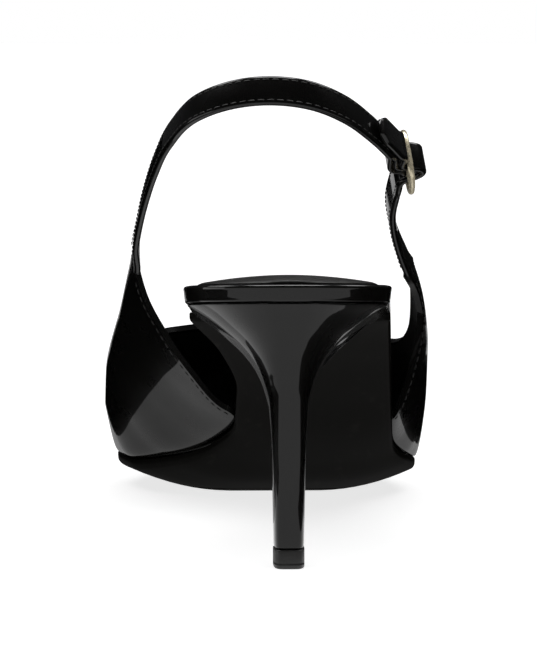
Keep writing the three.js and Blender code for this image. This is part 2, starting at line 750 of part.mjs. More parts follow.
// Directions at the buckle: along the strap towards the back, across it, and out from the ankle
const buckleCentre = placeOn(BUCKLE_CENTRE);
const buckleUp = standing(buckleCentre.x);
const uphill = new THREE.Vector3(0, -Math.cos(STRAP_PITCH), Math.sin(STRAP_PITCH));
const buckleOut = new THREE.Vector3().crossVectors(buckleUp, uphill).normalize();
const buckleBack = new THREE.Vector3().crossVectors(buckleOut, buckleUp).normalize();
function atBuckle(back, out, up = 0) {
  return buckleCentre.clone()
    .addScaledVector(buckleBack, back)
    .addScaledVector(buckleOut, out)
    .addScaledVector(buckleUp, up);
}

// Distances out from the middle of the frame: the fold of the sling round the bar, the strap
// over it, the strap under the rims, and the sling and its turned end under that strap
const BAR_RADIUS = WIRE / 2;
const RIM = (BUCKLE_WIDTH - WIRE) / 2;
const FOLD_RADIUS = BAR_RADIUS + GAP + FOLD_THICKNESS / 2;
const OVER_BAR = BAR_RADIUS + 2.5 * GAP + FOLD_THICKNESS + STRAP_THICKNESS / 2;
const UNDER_RIM = -(BAR_RADIUS + GAP + STRAP_THICKNESS / 2);
const SLING_UNDER = UNDER_RIM - STRAP_THICKNESS / 2 - GAP - FOLD_THICKNESS / 2;
const END_UNDER = SLING_UNDER - FOLD_THICKNESS - GAP;

function slingPath() {
  const main = bentLine([
    ...strapStart("medial"),
    ...SLING_LINE.map(placeOn),
    atBuckle(RIM + 3.2, SLING_UNDER),
    atBuckle(RIM, SLING_UNDER),
  ]);
  const fold = bentLine([
    atBuckle(RIM, SLING_UNDER),
    atBuckle(RIM * 0.74, SLING_UNDER * 0.98),
    atBuckle(RIM * 0.50, SLING_UNDER * 0.79),
    atBuckle(RIM * 0.34, SLING_UNDER * 0.40),
    atBuckle(FOLD_RADIUS, -FOLD_RADIUS * 0.06),
    atBuckle(FOLD_RADIUS * 0.62, FOLD_RADIUS * 0.80),
    atBuckle(-FOLD_RADIUS * 0.1, FOLD_RADIUS),
    atBuckle(-FOLD_RADIUS * 0.78, FOLD_RADIUS * 0.68),
    atBuckle(-FOLD_RADIUS, -FOLD_RADIUS * 0.1),
    atBuckle(-FOLD_RADIUS * 0.62, -FOLD_RADIUS * 0.86),
    atBuckle(FOLD_RADIUS * 0.05, -FOLD_RADIUS * 1.06),
    atBuckle(FOLD_RADIUS * 0.36, -FOLD_RADIUS * 1.60),
    atBuckle(RIM * 0.25, END_UNDER * 0.80),
    atBuckle(RIM * 0.54, END_UNDER * 0.97),
    atBuckle(RIM, END_UNDER),
    atBuckle(FOLD_LENGTH, END_UNDER),
  ]);
  return { main, fold };
}
function slingBand() {
  const { main, fold } = slingPath();
  const lengths = lengthsAlong(main);
  const total = lengths[lengths.length - 1];
  const line = [...main, ...fold.slice(1)];
  const fromEnd = (i) => (i < main.length ? total - lengths[i] : 0);
  const skive = (i) => THREE.MathUtils.smoothstep(fromEnd(i), 1, SKIVE_LENGTH);
  const thickness = (i) => THREE.MathUtils.lerp(FOLD_THICKNESS, STRAP_THICKNESS, skive(i));
  const shoulder = (i) => THREE.MathUtils.smoothstep(fromEnd(i), SKIVE_LENGTH - 2, SKIVE_LENGTH);
  const width = (i) => THREE.MathUtils.lerp(FOLD_WIDTH, STRAP_WIDTH, shoulder(i));
  const band = toManifold(strapSolid(line, thickness, width));
  const slot = new THREE.BoxGeometry(FOLD_RADIUS * 3.4, FOLD_RADIUS * 3.4, PRONG_SLOT);
  const cut = band.subtract(toManifold(turnedToBuckle(slot, FOLD_RADIUS * 0.15, FOLD_RADIUS * 0.1)));
  return named("sling_band", fromManifold(cut), leather(PATENT_BLACK, 0.15));
}

// Places a geometry whose x, y and z run back, out and up at the buckle
function turnedToBuckle(geometry, back, out) {
  const turn = new THREE.Matrix4().makeBasis(buckleBack, buckleOut, buckleUp);
  geometry.deleteAttribute("normal");
  geometry.deleteAttribute("uv");
  geometry.applyMatrix4(turn.setPosition(atBuckle(back, out)));
  return mergeVertices(geometry, 1e-3);
}

// Strap from the outer wing: under the front rim, over the bar, under the rear rim, and then
// its end lies on the sling
function buckleStrap() {
  const { main } = slingPath();
  const lengths = lengthsAlong(main);
  const total = lengths[lengths.length - 1];
  const lap = [];
  for (let i = main.length - 2; i > 0 && total - lengths[i] <= TIP_LAP; i--) {
    const { out } = strapFrame(main, i);
    const apart = STRAP_THICKNESS + GAP * LAP_GAP;
    if (total - lengths[i] > 4) lap.push(main[i].clone().addScaledVector(out, apart));
  }
  const line = bentLine([
    ...strapStart("lateral"),
    ...STRAP_LINE.map(placeOn),
    atBuckle(-RIM - 4, UNDER_RIM * 1.2),
    atBuckle(-RIM, UNDER_RIM * 1.06),
    atBuckle(-RIM * 0.75, UNDER_RIM * 0.66),
    atBuckle(-RIM * 0.62, 0),
    atBuckle(-RIM * 0.46, OVER_BAR * 0.52),
    atBuckle(-RIM * 0.27, OVER_BAR * 0.87),
    atBuckle(0, OVER_BAR),
    atBuckle(RIM * 0.27, OVER_BAR * 0.87),
    atBuckle(RIM * 0.46, OVER_BAR * 0.52),
    atBuckle(RIM * 0.62, 0),
    atBuckle(RIM * 0.75, UNDER_RIM * 0.64),
    atBuckle(RIM, UNDER_RIM * 1.02),
    ...lap,
  ]);
  const along = lengthsAlong(line);
  const end = along[along.length - 1];
  const width = (i) => {
    const left = THREE.MathUtils.clamp((end - along[i]) / TIP_ROUND, 0, 1);
    return STRAP_WIDTH * (TIP_BLUNTNESS + (1 - TIP_BLUNTNESS) * Math.sqrt(1 - (1 - left) ** 2));
  };
  let strap = toManifold(strapSolid(line, () => STRAP_THICKNESS, width));
  const punch = new THREE.CylinderGeometry(HOLE_DIAMETER / 2, HOLE_DIAMETER / 2, RIM * 0.8, 12);
  punch.rotateZ(Math.PI / 2);
  strap = strap.subtract(toManifold(turnedToBuckle(punch, -RIM * 0.5, FOLD_RADIUS)));
  const spare = new THREE.CylinderGeometry(HOLE_DIAMETER / 2, HOLE_DIAMETER / 2, STRAP_THICKNESS * 3, 12);
  const spot = main.findIndex((_, i) => total - lengths[i] < SPARE_HOLE);
  const { along: way, up, out } = strapFrame(main, spot);
  const place = main[spot].clone().addScaledVector(out, STRAP_THICKNESS * 2);
  spare.deleteAttribute("normal");
  spare.deleteAttribute("uv");
  spare.applyMatrix4(new THREE.Matrix4().makeBasis(way, out, up.clone().negate()).setPosition(place));
  strap = strap.subtract(toManifold(mergeVertices(spare, 1e-3)));
  return named("buckle_strap", fromManifold(strap), leather(PATENT_BLACK, 0.15));
}

// Buckle: an oval wire frame with a bar across its middle, and the prong hooked on the bar
function buckleFrame() {
  const halfLong = (BUCKLE_LENGTH - WIRE) / 2;
  const points = [];
  const faces = [];
  const round = (value) => Math.sign(value) * Math.abs(value) ** (2 / FRAME_SQUARENESS);
  const spot = (angle) => atBuckle(RIM * round(Math.cos(angle)), 0, halfLong * round(Math.sin(angle)));
  for (let i = 0; i < FRAME_STEPS; i++) {
    const angle = 2 * Math.PI * (i + 0.5) / FRAME_STEPS;
    const here = spot(angle);
    const along = spot(angle + 0.05).sub(spot(angle - 0.05)).normalize();
    const side = along.clone().cross(buckleOut);
    for (let j = 0; j < WIRE_SIDES; j++) {
      const turn = 2 * Math.PI * j / WIRE_SIDES;
      points.push(here.clone()
        .addScaledVector(side, WIRE / 2 * Math.cos(turn))
        .addScaledVector(buckleOut, WIRE / 2 * Math.sin(turn)));
    }
  }
  for (let i = 0; i < FRAME_STEPS; i++) {
    const next = (i + 1) % FRAME_STEPS;
    for (let j = 0; j < WIRE_SIDES; j++) {
      const a = i * WIRE_SIDES + j;
      const b = i * WIRE_SIDES + (j + 1) % WIRE_SIDES;
      const c = next * WIRE_SIDES + (j + 1) % WIRE_SIDES;
      const d = next * WIRE_SIDES + j;
      faces.push(a, c, b, a, d, c);
    }
  }
  const ring = toManifold(meshGeometry(points, faces));
  const bar = new THREE.CylinderGeometry(BAR_RADIUS, BAR_RADIUS, halfLong * 2, WIRE_SIDES);
  bar.rotateX(Math.PI / 2);
  const whole = ring.add(toManifold(turnedToBuckle(bar, 0, 0)));
  return named("buckle_frame", fromManifold(whole), metal());
}
function prong() {
  const reach = BAR_RADIUS + GAP + PRONG_THICKNESS / 2;
  const hook = [];
  for (let i = 0; i <= 6; i++) {
    const angle = Math.PI / 2 - Math.PI * 1.25 * i / 6;
    hook.push(atBuckle(reach * Math.cos(angle), reach * Math.sin(angle)));
  }
  const line = [atBuckle(-RIM - PRONG_THICKNESS, reach), atBuckle(-RIM * 0.55, reach), ...hook];
  const geometry = strapSolid(line, () => PRONG_THICKNESS, () => PRONG_THICKNESS);
  return named("buckle_prong", geometry, metal());
}

const shoe = new THREE.Group();
shoe.add(upper(), outsole(), insole(), heelPad(), heel(), topPiece());
shoe.add(slingBand(), buckleStrap(), buckleFrame(), prong());

// The origin is on the floor under the middle of the shoe's box
const box = new THREE.Box3().setFromObject(shoe);
const middle = box.getCenter(new THREE.Vector3());
shoe.position.set(-middle.x, -middle.y, 0);

export default shoe;
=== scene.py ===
# Slingback pump, right shoe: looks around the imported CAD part.
# Shapes are worked out in millimetres, as in the part: x from the middle of the seat to the outer
# side of the foot, y from the back of the seat to the toe, z up from the floor. They are moved to
# the row frame, in metres, when a mesh is made.
import math

import bmesh
import bpy
import numpy as np
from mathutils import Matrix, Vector


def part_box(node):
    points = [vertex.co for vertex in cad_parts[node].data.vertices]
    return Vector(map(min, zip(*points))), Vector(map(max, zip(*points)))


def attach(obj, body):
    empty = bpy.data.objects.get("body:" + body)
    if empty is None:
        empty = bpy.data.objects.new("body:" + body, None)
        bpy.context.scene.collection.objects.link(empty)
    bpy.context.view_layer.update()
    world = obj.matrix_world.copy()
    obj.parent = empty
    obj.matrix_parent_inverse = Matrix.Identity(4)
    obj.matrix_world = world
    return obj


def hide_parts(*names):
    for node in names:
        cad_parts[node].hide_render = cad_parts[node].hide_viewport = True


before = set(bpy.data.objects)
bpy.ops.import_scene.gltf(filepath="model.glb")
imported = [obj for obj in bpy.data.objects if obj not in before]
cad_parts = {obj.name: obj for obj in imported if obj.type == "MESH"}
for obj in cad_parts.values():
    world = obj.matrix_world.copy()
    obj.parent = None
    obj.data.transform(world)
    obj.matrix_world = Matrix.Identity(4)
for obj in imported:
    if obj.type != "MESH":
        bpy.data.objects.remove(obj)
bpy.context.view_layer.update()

MM = 0.001
TOP_PIECE_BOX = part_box("top_piece")
SEAT_ORIGIN = np.array([(TOP_PIECE_BOX[0].x + TOP_PIECE_BOX[1].x) / 2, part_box("insole")[0].y, 0])

# Driving sizes, in millimetres
LENGTH = (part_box("upper")[1].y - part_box("insole")[0].y) / MM
BALL_WIDTH = 84
SEAT_WIDTH = 54
HEEL_HEIGHT = 70
INSTEP_HEIGHT = 60
WALL = 1.6
GAP = 0.3
SOLE_THICKNESS = 2.6
RAND_THICKNESS = 4.4
SHANK_THICKNESS = 3.6
INSOLE_THICKNESS = 2
PAD_CROWN = 2.9
PAD_EDGE = 0.5
PAD_INSET = 3.5
PAD_LENGTH = 58
SEAT_ROUND = 27
HEEL_LENGTH = 48
HEEL_INSET = 0.8
TIP_WIDTH = 7.8
TIP_LENGTH = 8.6
TIP_BACK = 9
TOP_PIECE_HEIGHT = 5
STRAP_WIDTH = 8
STRAP_THICKNESS = 1.8
SLING_HEIGHT = 124
BUCKLE_LENGTH = 16.4
BUCKLE_WIDTH = 14
WIRE = 1.6
FOLD_THICKNESS = 1.2
FOLD_WIDTH = 6.4
FOLD_LENGTH = 14
SKIVE_LENGTH = 9
TIP_LAP = 19.5
TIP_CHAMFER = 3
TIP_BLUNTNESS = 0.55
STRAP_LEAD = 3
PRONG_THICKNESS = 1.2
HOLE_DIAMETER = 2.2
SPARE_HOLE = 5

# Height of the walking surface along the sole, as shares of the length and the heel height
WALKING_LINE = {
    "at":   [0.00, 0.10, 0.20, 0.30, 0.40, 0.48, 0.54, 0.60, 0.66, 0.71, 0.80, 0.90, 1.00],
    "rise": [0.963, 0.917, 0.841, 0.680, 0.474, 0.289, 0.167, 0.054, 0, 0, 0.021, 0.066, 0.120],
}
# How far the sole's edges rise above its middle, as a share of the ball width
CAMBER = {
    "at":   [0.00, 0.20, 0.40, 0.54, 0.60, 0.66, 0.72, 0.80, 0.90, 1.00],
    "rise": [0, 0.006, 0.018, 0.036, 0.063, 0.077, 0.077, 0.060, 0.036, 0.012],
}
# Feather line of the last seen from above, as shares of the length and the ball width
OUTLINE = {
    "at":      [0.108, 0.20, 0.30, 0.40, 0.48, 0.54, 0.60, 0.66, 0.72, 0.80, 0.88, 0.95, 1.00],
    "medial":  [-0.321, -0.296, -0.200, -0.139, -0.140, -0.206, -0.343, -0.474, -0.512, -0.435,
                -0.300, -0.176, -0.042],
    "lateral": [0.321, 0.329, 0.343, 0.357, 0.369, 0.380, 0.434, 0.467, 0.440, 0.327,
                0.198, 0.074, -0.042],
}
# Walls of the last: the outermost point on each side and the ridge. Sideways places are shares
# of the ball width; the heights above the feather line are shares of the instep height.
WALLS = {
    "at":        [0.35, 0.44, 0.50, 0.60, 0.66, 0.72, 0.80, 0.88, 0.95, 1.00],
    "medial":    [-0.462, -0.488, -0.512, -0.553, -0.555, -0.545, -0.460, -0.318, -0.187, -0.042],
    "medialUp":  [0.50, 0.52, 0.48, 0.38, 0.25, 0.19, 0.15, 0.133, 0.10, 0],
    "lateral":   [0.390, 0.473, 0.488, 0.495, 0.497, 0.469, 0.352, 0.214, 0.083, -0.042],
    "lateralUp": [0.33, 0.35, 0.36, 0.25, 0.20, 0.167, 0.142, 0.125, 0.092, 0],
    "ridge":     [-0.024, -0.036, -0.048, -0.083, -0.095, -0.095, -0.089, -0.071, -0.054, -0.042],
    "ridgeUp":   [1.05, 1.00, 0.93, 0.777, 0.667, 0.545, 0.433, 0.350, 0.250, 0],
}
# Topline from each wing's strap end to the throat, and the back edge of each wing from the sole
# up, as (share of the length, share of the heel height)
FRONT_EDGE = {
    "medial": [(0.407, 1.066), (0.488, 0.907), (0.560, 0.714), (0.608, 0.636), (0.640, 0.626),
               (0.664, 0.650)],
    "lateral": [(0.388, 1.057), (0.472, 0.893), (0.548, 0.707), (0.600, 0.629), (0.636, 0.621),
                (0.664, 0.650)],
}
THROAT = 0.682
BACK_EDGE = {
    "medial": [(0.464, 0.406), (0.440, 0.536), (0.424, 0.700), (0.412, 0.857), (0.393, 0.963)],
    "lateral": [(0.468, 0.429), (0.450, 0.550), (0.436, 0.671), (0.420, 0.786), (0.398, 0.893),
                (0.372, 0.957)],
}
WING_FOOT = {"medial": 0.476, "lateral": 0.484}
# Heel block: how much of the way from the tip's outline to the seat's outline each level has gone
HEEL_LEVELS = {
    "height": [0, 0.39, 0.61, 0.70, 0.775, 0.845, 0.902, 0.956, 1],
    "side":   [0, 0.024, 0.056, 0.120, 0.215, 0.370, 0.560, 0.775, 1],
    "back":   [0, 0.024, 0.12, 0.23, 0.35, 0.52, 0.68, 0.85, 1],
    "breast": [0, 0.04, 0.11, 0.19, 0.29, 0.43, 0.59, 0.80, 1],
}
# Middle lines of the sling and the buckle strap: shares of the seat width, the length and the
# sling height
SLING_LINE = [
    (-0.713, 0.360, 0.622), (-0.690, 0.300, 0.694), (-0.660, 0.240, 0.760), (-0.622, 0.184, 0.822),
    (-0.562, 0.120, 0.890), (-0.444, 0.062, 0.956), (-0.270, 0.032, 0.990), (-0.087, 0.020, 1.000),
    (0.098, 0.026, 0.989), (0.265, 0.048, 0.956), (0.396, 0.080, 0.910), (0.500, 0.122, 0.862),
]
STRAP_LINE = [
    (0.583, 0.348, 0.610), (0.541, 0.304, 0.667), (0.524, 0.264, 0.718), (0.536, 0.226, 0.765),
]
BUCKLE_CENTRE = (0.585, 0.168, 0.825)
STRAP_PITCH = math.radians(28.5)
BUCKLE_LEAN = math.radians(8.5)

# Camera: where the photograph was taken from, and how much closer its frame is drawn
CAMERA_FROM = (-57.1, -1987, 285)
CAMERA_TO = (-4.6, 40, 60.6)
PHOTO_FOCAL_PIXELS = 5000
CLOSER = 1.565
FRAME_HEIGHT_PIXELS = 645
SENSOR_MM = 36


# Meshes
def to_row(points):
    return np.asarray(points, float) * MM + SEAT_ORIGIN


def new_piece(name, points, faces, materials, slot, face_slots=None, uv=None, merge=0.002):
    """Makes a closed mesh of points in millimetres that rides on the shoe."""
    mesh = bpy.data.meshes.new(name)
    mesh.from_pydata(to_row(points).tolist(), [], [list(map(int, face)) for face in faces])
    for material in materials:
        mesh.materials.append(material)
    if face_slots is not None:
        mesh.polygons.foreach_set("material_index", np.asarray(face_slots, np.int32))
    if uv is not None:
        layer = mesh.uv_layers.new(name="sewing")
        corners = np.zeros(len(mesh.loops), np.int32)
        mesh.loops.foreach_get("vertex_index", corners)
        layer.data.foreach_set("uv", np.asarray(uv, np.float32)[corners].ravel())
    work = bmesh.new()
    work.from_mesh(mesh)
    bmesh.ops.remove_doubles(work, verts=work.verts, dist=merge * MM)
    bmesh.ops.dissolve_degenerate(work, edges=work.edges, dist=merge * MM)
    bmesh.ops.recalc_face_normals(work, faces=work.faces)
    work.to_mesh(mesh)
    work.free()
    mesh.polygons.foreach_set("use_smooth", np.ones(len(mesh.polygons), bool))
    mesh.update()
    piece = bpy.data.objects.new(name, mesh)
    bpy.context.scene.collection.objects.link(piece)
    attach(piece, "root")
    return piece


def grid_faces(rows, columns, start=0, closed=False):
    faces = []
    for i in range(rows - 1):
        for j in range(columns if closed else columns - 1):
            a = start + i * columns + j
            b = start + i * columns + (j + 1) % columns
            faces.append((a, b, b + columns, a + columns))
    return faces


def round_edges(piece, width, angle=50, segments=3):
    bevel = piece.modifiers.new("rounded edges", "BEVEL")
    bevel.width = width * MM
    bevel.segments = segments
    bevel.limit_method = "ANGLE"
    bevel.angle_limit = math.radians(angle)
    bevel.harden_normals = False
    normals = piece.modifiers.new("even shading", "WEIGHTED_NORMAL")
    normals.keep_sharp = False
    return piece


def loft(rings):
    """Points and faces of a closed tube through rings, with a fan at each end."""
    rings = np.asarray(rings, float)
    count, sides = rings.shape[:2]
    points = rings.reshape(-1, 3)
    faces = grid_faces(count, sides, closed=True)
    ends = [rings[0].mean(0), rings[-1].mean(0)]
    points = np.vstack([points, ends])
    first = count * sides
    last = (count - 1) * sides
    for j in range(sides):
        following = (j + 1) % sides
        faces.append((first, following, j))
        faces.append((first + 1, last + j, last + following))
    return points, faces


def unit(vectors):
    length = np.linalg.norm(vectors, axis=-1, keepdims=True)
    return vectors / np.maximum(length, 1e-12)


# Lines
def table_line(xs, ys):
    """A smooth line through a table's rows that never overshoots between them."""
    order = np.argsort(xs)
    px = np.array(xs, float)[order]
    py = np.array(ys, float)[order]
    secants = np.diff(py) / np.diff(px)
    before = secants[:-1]
    after = secants[1:]
    turns = before * after <= 0
    total = np.where(turns, 1, before + after)
    inner = np.where(turns, 0, 2 * before * after / total)
    slopes = np.concatenate([secants[:1], inner, secants[-1:]])

    def line(where):
        x = np.clip(where, px[0], px[-1])
        i = np.clip(np.searchsorted(px, x) - 1, 0, len(px) - 2)
        width = px[i + 1] - px[i]
        t = (x - px[i]) / width
        start = (2 * t**3 - 3 * t**2 + 1) * py[i] + (t**3 - 2 * t**2 + t) * width * slopes[i]
        end = (3 * t**2 - 2 * t**3) * py[i + 1] + (t**3 - t**2) * width * slopes[i + 1]
        return start + end

    return line


def spaced(line, count):
    """Points at even distances along a finely drawn line."""
    line = np.asarray(line, float)
    lengths = lengths_along(line)
    wanted = np.linspace(0, lengths[-1], count + 1)
    return np.stack([np.interp(wanted, lengths, line[:, k]) for k in range(line.shape[1])], axis=1)


def lengths_along(line):
    steps = np.linalg.norm(np.diff(line, axis=0), axis=1)
    return np.concatenate([[0], np.cumsum(steps)])


def drawn_flat(points, steps=80):
    """A smooth curve through flat points, drawn finely; its ends go straight on."""
    points = np.asarray(points, float)
    padded = np.vstack([points[:1], points, points[-1:]])
    t = np.linspace(0, 1, steps, endpoint=False)[:, None]
    pieces = []
    for p0, p1, p2, p3 in zip(padded, padded[1:], padded[2:], padded[3:]):
        v0 = (p2 - p0) / 2
        v1 = (p3 - p1) / 2
        pieces.append(
            (2 * p1 - 2 * p2 + v0 + v1) * t**3 + (-3 * p1 + 3 * p2 - 2 * v0 - v1) * t**2 + v0 * t + p1
        )
    return np.vstack([*pieces, points[-1:]])


def drawn_evenly(points, steps=60):
    """A smooth curve through points in space whose spacing varies, drawn finely."""
    points = np.asarray(points, float)
    padded = np.vstack([2 * points[0] - points[1], points, 2 * points[-1] - points[-2]])
    t = np.linspace(0, 1, steps, endpoint=False)[:, None]
    pieces = []
    for p0, p1, p2, p3 in zip(padded, padded[1:], padded[2:], padded[3:]):
        d0, d1, d2 = (max(np.linalg.norm(b - a) ** 0.5, 1e-4) for a, b in ((p0, p1), (p1, p2), (p2, p3)))
        t1 = ((p1 - p0) / d0 - (p2 - p0) / (d0 + d1) + (p2 - p1) / d1) * d1
        t2 = ((p2 - p1) / d1 - (p3 - p1) / (d1 + d2) + (p3 - p2) / d2) * d1
        pieces.append(
            (2 * p1 - 2 * p2 + t1 + t2) * t**3 + (-3 * p1 + 3 * p2 - 2 * t1 - t2) * t**2 + t1 * t + p1
        )
    return np.vstack([*pieces, points[-1:]])


def smoothstep(x, low, high):
    t = np.clip((x - low) / (high - low), 0, 1)
    return t * t * (3 - 2 * t)


# The last
def from_toe(at):
    return np.sqrt(np.maximum(0, 1 - np.asarray(at, float)))


walking_share = table_line(WALKING_LINE["at"], WALKING_LINE["rise"])
camber_share = table_line(CAMBER["at"], CAMBER["rise"])
outline_share = {side: table_line(from_toe(OUTLINE["at"]), OUTLINE[side]) for side in ("medial", "lateral")}
wall_share = {column: table_line(from_toe(WALLS["at"]), WALLS[column]) for column in WALLS if column != "at"}
FLAT_SHARE = 0.3


def walking_height(y):
    return walking_share(y / LENGTH) * HEEL_HEIGHT


def edge_lift(y, across):
    beyond = np.maximum(0, (np.abs(across) - FLAT_SHARE) / (1 - FLAT_SHARE))
    return camber_share(y / LENGTH) * BALL_WIDTH * beyond**2


def sole_top(y, across):
    return walking_height(y) + edge_lift(y, across) + SOLE_THICKNESS


def outline(y):
    y = np.asarray(y, float)
    at = from_toe(np.maximum(y / LENGTH, OUTLINE["at"][0]))
    seat = y < SEAT_ROUND
    short = np.clip(1 - y / SEAT_ROUND, 0, 1)
    share = np.sqrt(np.maximum(0, 1 - short**2.2))
    inner = np.where(seat, -SEAT_WIDTH / 2 * share, outline_share["medial"](at) * BALL_WIDTH)
    outer = np.where(seat, SEAT_WIDTH / 2 * share, outline_share["lateral"](at) * BALL_WIDTH)
    return inner, outer


def last_points(girth, y):
    girth, y = np.broadcast_arrays(np.asarray(girth, float), np.asarray(y, float))
    at = from_toe(y / LENGTH)
    inner_side = girth < 0
    inner, outer = outline(y)
    foot = np.where(inner_side, inner, outer)
    wall = np.where(inner_side, wall_share["medial"](at), wall_share["lateral"](at)) * BALL_WIDTH
    wall_up = np.where(inner_side, wall_share["medialUp"](at), wall_share["lateralUp"](at)) * INSTEP_HEIGHT
    ridge = wall_share["ridge"](at) * BALL_WIDTH
    ridge_up = wall_share["ridgeUp"](at) * INSTEP_HEIGHT
    low_length = np.hypot(wall - foot, wall_up)
    high_length = math.pi / 2 * np.hypot(wall - ridge, ridge_up - wall_up) / math.sqrt(2)
    turn = np.clip(low_length / np.maximum(low_length + high_length, 1e-9), 1e-6, 1 - 1e-6)
    climb = 1 - np.abs(girth)
    low_angle = np.clip(climb / turn, 0, 1) * math.pi / 2
    straight = 1 - np.cos(low_angle)
    high_angle = np.clip((climb - turn) / (1 - turn), 0, 1) * math.pi / 2
    low = climb < turn
    x = np.where(low, foot + (wall - foot) * (np.sin(low_angle) + straight) / 2,
                 ridge + (wall - ridge) * np.cos(high_angle))
    up = np.where(low, wall_up * straight, wall_up + (ridge_up - wall_up) * np.sin(high_angle))
    return np.stack([x, y, sole_top(y, 1) + 2 * GAP + up], axis=-1)


def girth_at(side, y, z):
    """The girth at which a station's wall reaches a height."""
    sign = -1 if side == "medial" else 1
    low, high = 0.0, 1.0
    for _ in range(40):
        middle = (low + high) / 2
        if last_points(sign * (1 - middle), y)[2] < z:
            low = middle
        else:
            high = middle
    return sign * (1 - (low + high) / 2)


# The upper's pattern is laid out flat round the toe tip: the distance from it is the root of the
# way back along the last, and the angle is the girth.
def to_pattern(girth, y):
    radius = from_toe(y / LENGTH)
    angle = girth * math.pi / 2
    return np.array([radius * math.sin(angle), radius * math.cos(angle)])


def from_pattern(points):
    points = np.asarray(points, float)
    radius = np.hypot(points[..., 0], points[..., 1])
    girth = np.arctan2(points[..., 0], np.maximum(points[..., 1], 0)) * 2 / math.pi
    return last_points(girth, LENGTH * (1 - radius**2))


def edge_points(rows, side):
    return [to_pattern(girth_at(side, at * LENGTH, up * HEEL_HEIGHT), at * LENGTH) for at, up in rows]


def wing_end_points(side, shares):
    back = np.array(BACK_EDGE[side][-1])
    front = np.array(FRONT_EDGE[side][0])
    return edge_points([tuple(back + (front - back) * share) for share in shares], side)


WING_END_SHARE = 2 / 60         # part of the topline's steps that lies on each wing's strap end


def upper_pattern(along, across):
    lateral_foot = to_pattern(1, WING_FOOT["lateral"] * LENGTH)
    medial_foot = to_pattern(-1, WING_FOOT["medial"] * LENGTH)
    back_lateral = spaced(drawn_flat([lateral_foot, *edge_points(BACK_EDGE["lateral"], "lateral")]), across)
    back_medial = spaced(drawn_flat([medial_foot, *edge_points(BACK_EDGE["medial"], "medial")]), across)
    ends = round(along * WING_END_SHARE)
    arch = spaced(
        drawn_flat([
            *edge_points(FRONT_EDGE["lateral"], "lateral"),
            to_pattern(0, THROAT * LENGTH),
            *reversed(edge_points(FRONT_EDGE["medial"], "medial")),
        ]),
        along - 2 * ends,
    )
    shares = [k / ends for k in range(ends)]
    topline = np.vstack([
        wing_end_points("lateral", shares), arch, list(reversed(wing_end_points("medial", shares))),
    ])
    s = np.linspace(0, 1, along + 1)[:, None, None]
    t = np.linspace(0, 1, across + 1)[None, :, None]
    foot = lateral_foot + (medial_foot - lateral_foot) * s
    points = foot + (topline[:, None, :] - foot) * t
    straight_lateral = lateral_foot + (topline[0] - lateral_foot) * t[0]
    straight_medial = medial_foot + (topline[-1] - medial_foot) * t[0]
    return (points + (back_lateral - straight_lateral)[None] * (1 - s) ** 8
            + (back_medial - straight_medial)[None] * s**8)


# Materials
def material(name, base, roughness, **sockets):
    made = bpy.data.materials.new(name)
    made.use_nodes = True
    nodes = made.node_tree.nodes
    shader = nodes["Principled BSDF"]
    shader.inputs["Base Color"].default_value = (*base, 1)
    shader.inputs["Roughness"].default_value = roughness
    for socket, value in sockets.items():
        shader.inputs[socket.replace("_", " ")].default_value = value
    return made


def add_node(made, kind, **values):
    node = made.node_tree.nodes.new(kind)
    for key, value in values.items():
        if key in node.inputs:
            node.inputs[key].default_value = value
        else:
            setattr(node, key, value)
    return node


def wire(made, start, end):
    made.node_tree.links.new(start, end)


def noise(made, scale, detail=2.0, roughness=0.5, stretch=(1, 1, 1)):
    place = add_node(made, "ShaderNodeTexCoord")
    mapping = add_node(made, "ShaderNodeMapping")
    mapping.inputs["Scale"].default_value = stretch
    wire(made, place.outputs["Object"], mapping.inputs["Vector"])
    texture = add_node(made, "ShaderNodeTexNoise", Scale=scale, Detail=detail, Roughness=roughness)
    wire(made, mapping.outputs["Vector"], texture.inputs["Vector"])
    return texture.outputs["Fac"]


def spread(made, value, low, high, start=0.3, end=0.7):
    """Maps a texture's usual range to the wanted one."""
    node = add_node(made, "ShaderNodeMapRange")
    node.inputs["From Min"].default_value = start
    node.inputs["From Max"].default_value = end
    node.inputs["To Min"].default_value = low
    node.inputs["To Max"].default_value = high
    wire(made, value, node.inputs["Value"])
    return node.outputs["Result"]


def mix_colours(made, share, first, second):
    node = add_node(made, "ShaderNodeMix", data_type="RGBA")
    node.inputs[6].default_value = (*first, 1)
    node.inputs[7].default_value = (*second, 1)
    wire(made, share, node.inputs[0])
    return node.outputs[2]


def bump(made, heights, strength_mm, sockets=("Normal",)):
    """Stacks bump layers, each a height socket with its depth in millimetres."""
    shader = made.node_tree.nodes["Principled BSDF"]
    before = None
    for height, depth in zip(heights, strength_mm):
        node = add_node(made, "ShaderNodeBump")
        node.inputs["Strength"].default_value = 1.0
        node.inputs["Distance"].default_value = depth * MM
        wire(made, height, node.inputs["Height"])
        if before is not None:
            wire(made, before, node.inputs["Normal"])
        before = node.outputs["Normal"]
    for socket in sockets:
        wire(made, before, shader.inputs[socket])


def patent(name):
    """Black patent: a clear hard gloss over leather whose grain shows as a faint waviness."""
    made = material(
        name, (0.0025, 0.0024, 0.0022), 0.3,
        Coat_Weight=1.0, Coat_Roughness=0.03, Coat_IOR=1.43, Specular_IOR_Level=0.08,
    )
    shader = made.node_tree.nodes["Principled BSDF"]
    waves = noise(made, 110, detail=1.0)
    grain = noise(made, 1300, detail=2.0)
    haze = noise(made, 60, detail=4.0, roughness=0.6)
    wire(made, spread(made, haze, 0.22, 0.42), shader.inputs["Roughness"])
    wire(made, mix_colours(made, haze, (0.0018, 0.0017, 0.0015), (0.0034, 0.0032, 0.0029)),
         shader.inputs["Base Color"])
    bump(made, [waves, grain], [0.05, 0.0015], sockets=("Normal", "Coat Normal"))
    return made


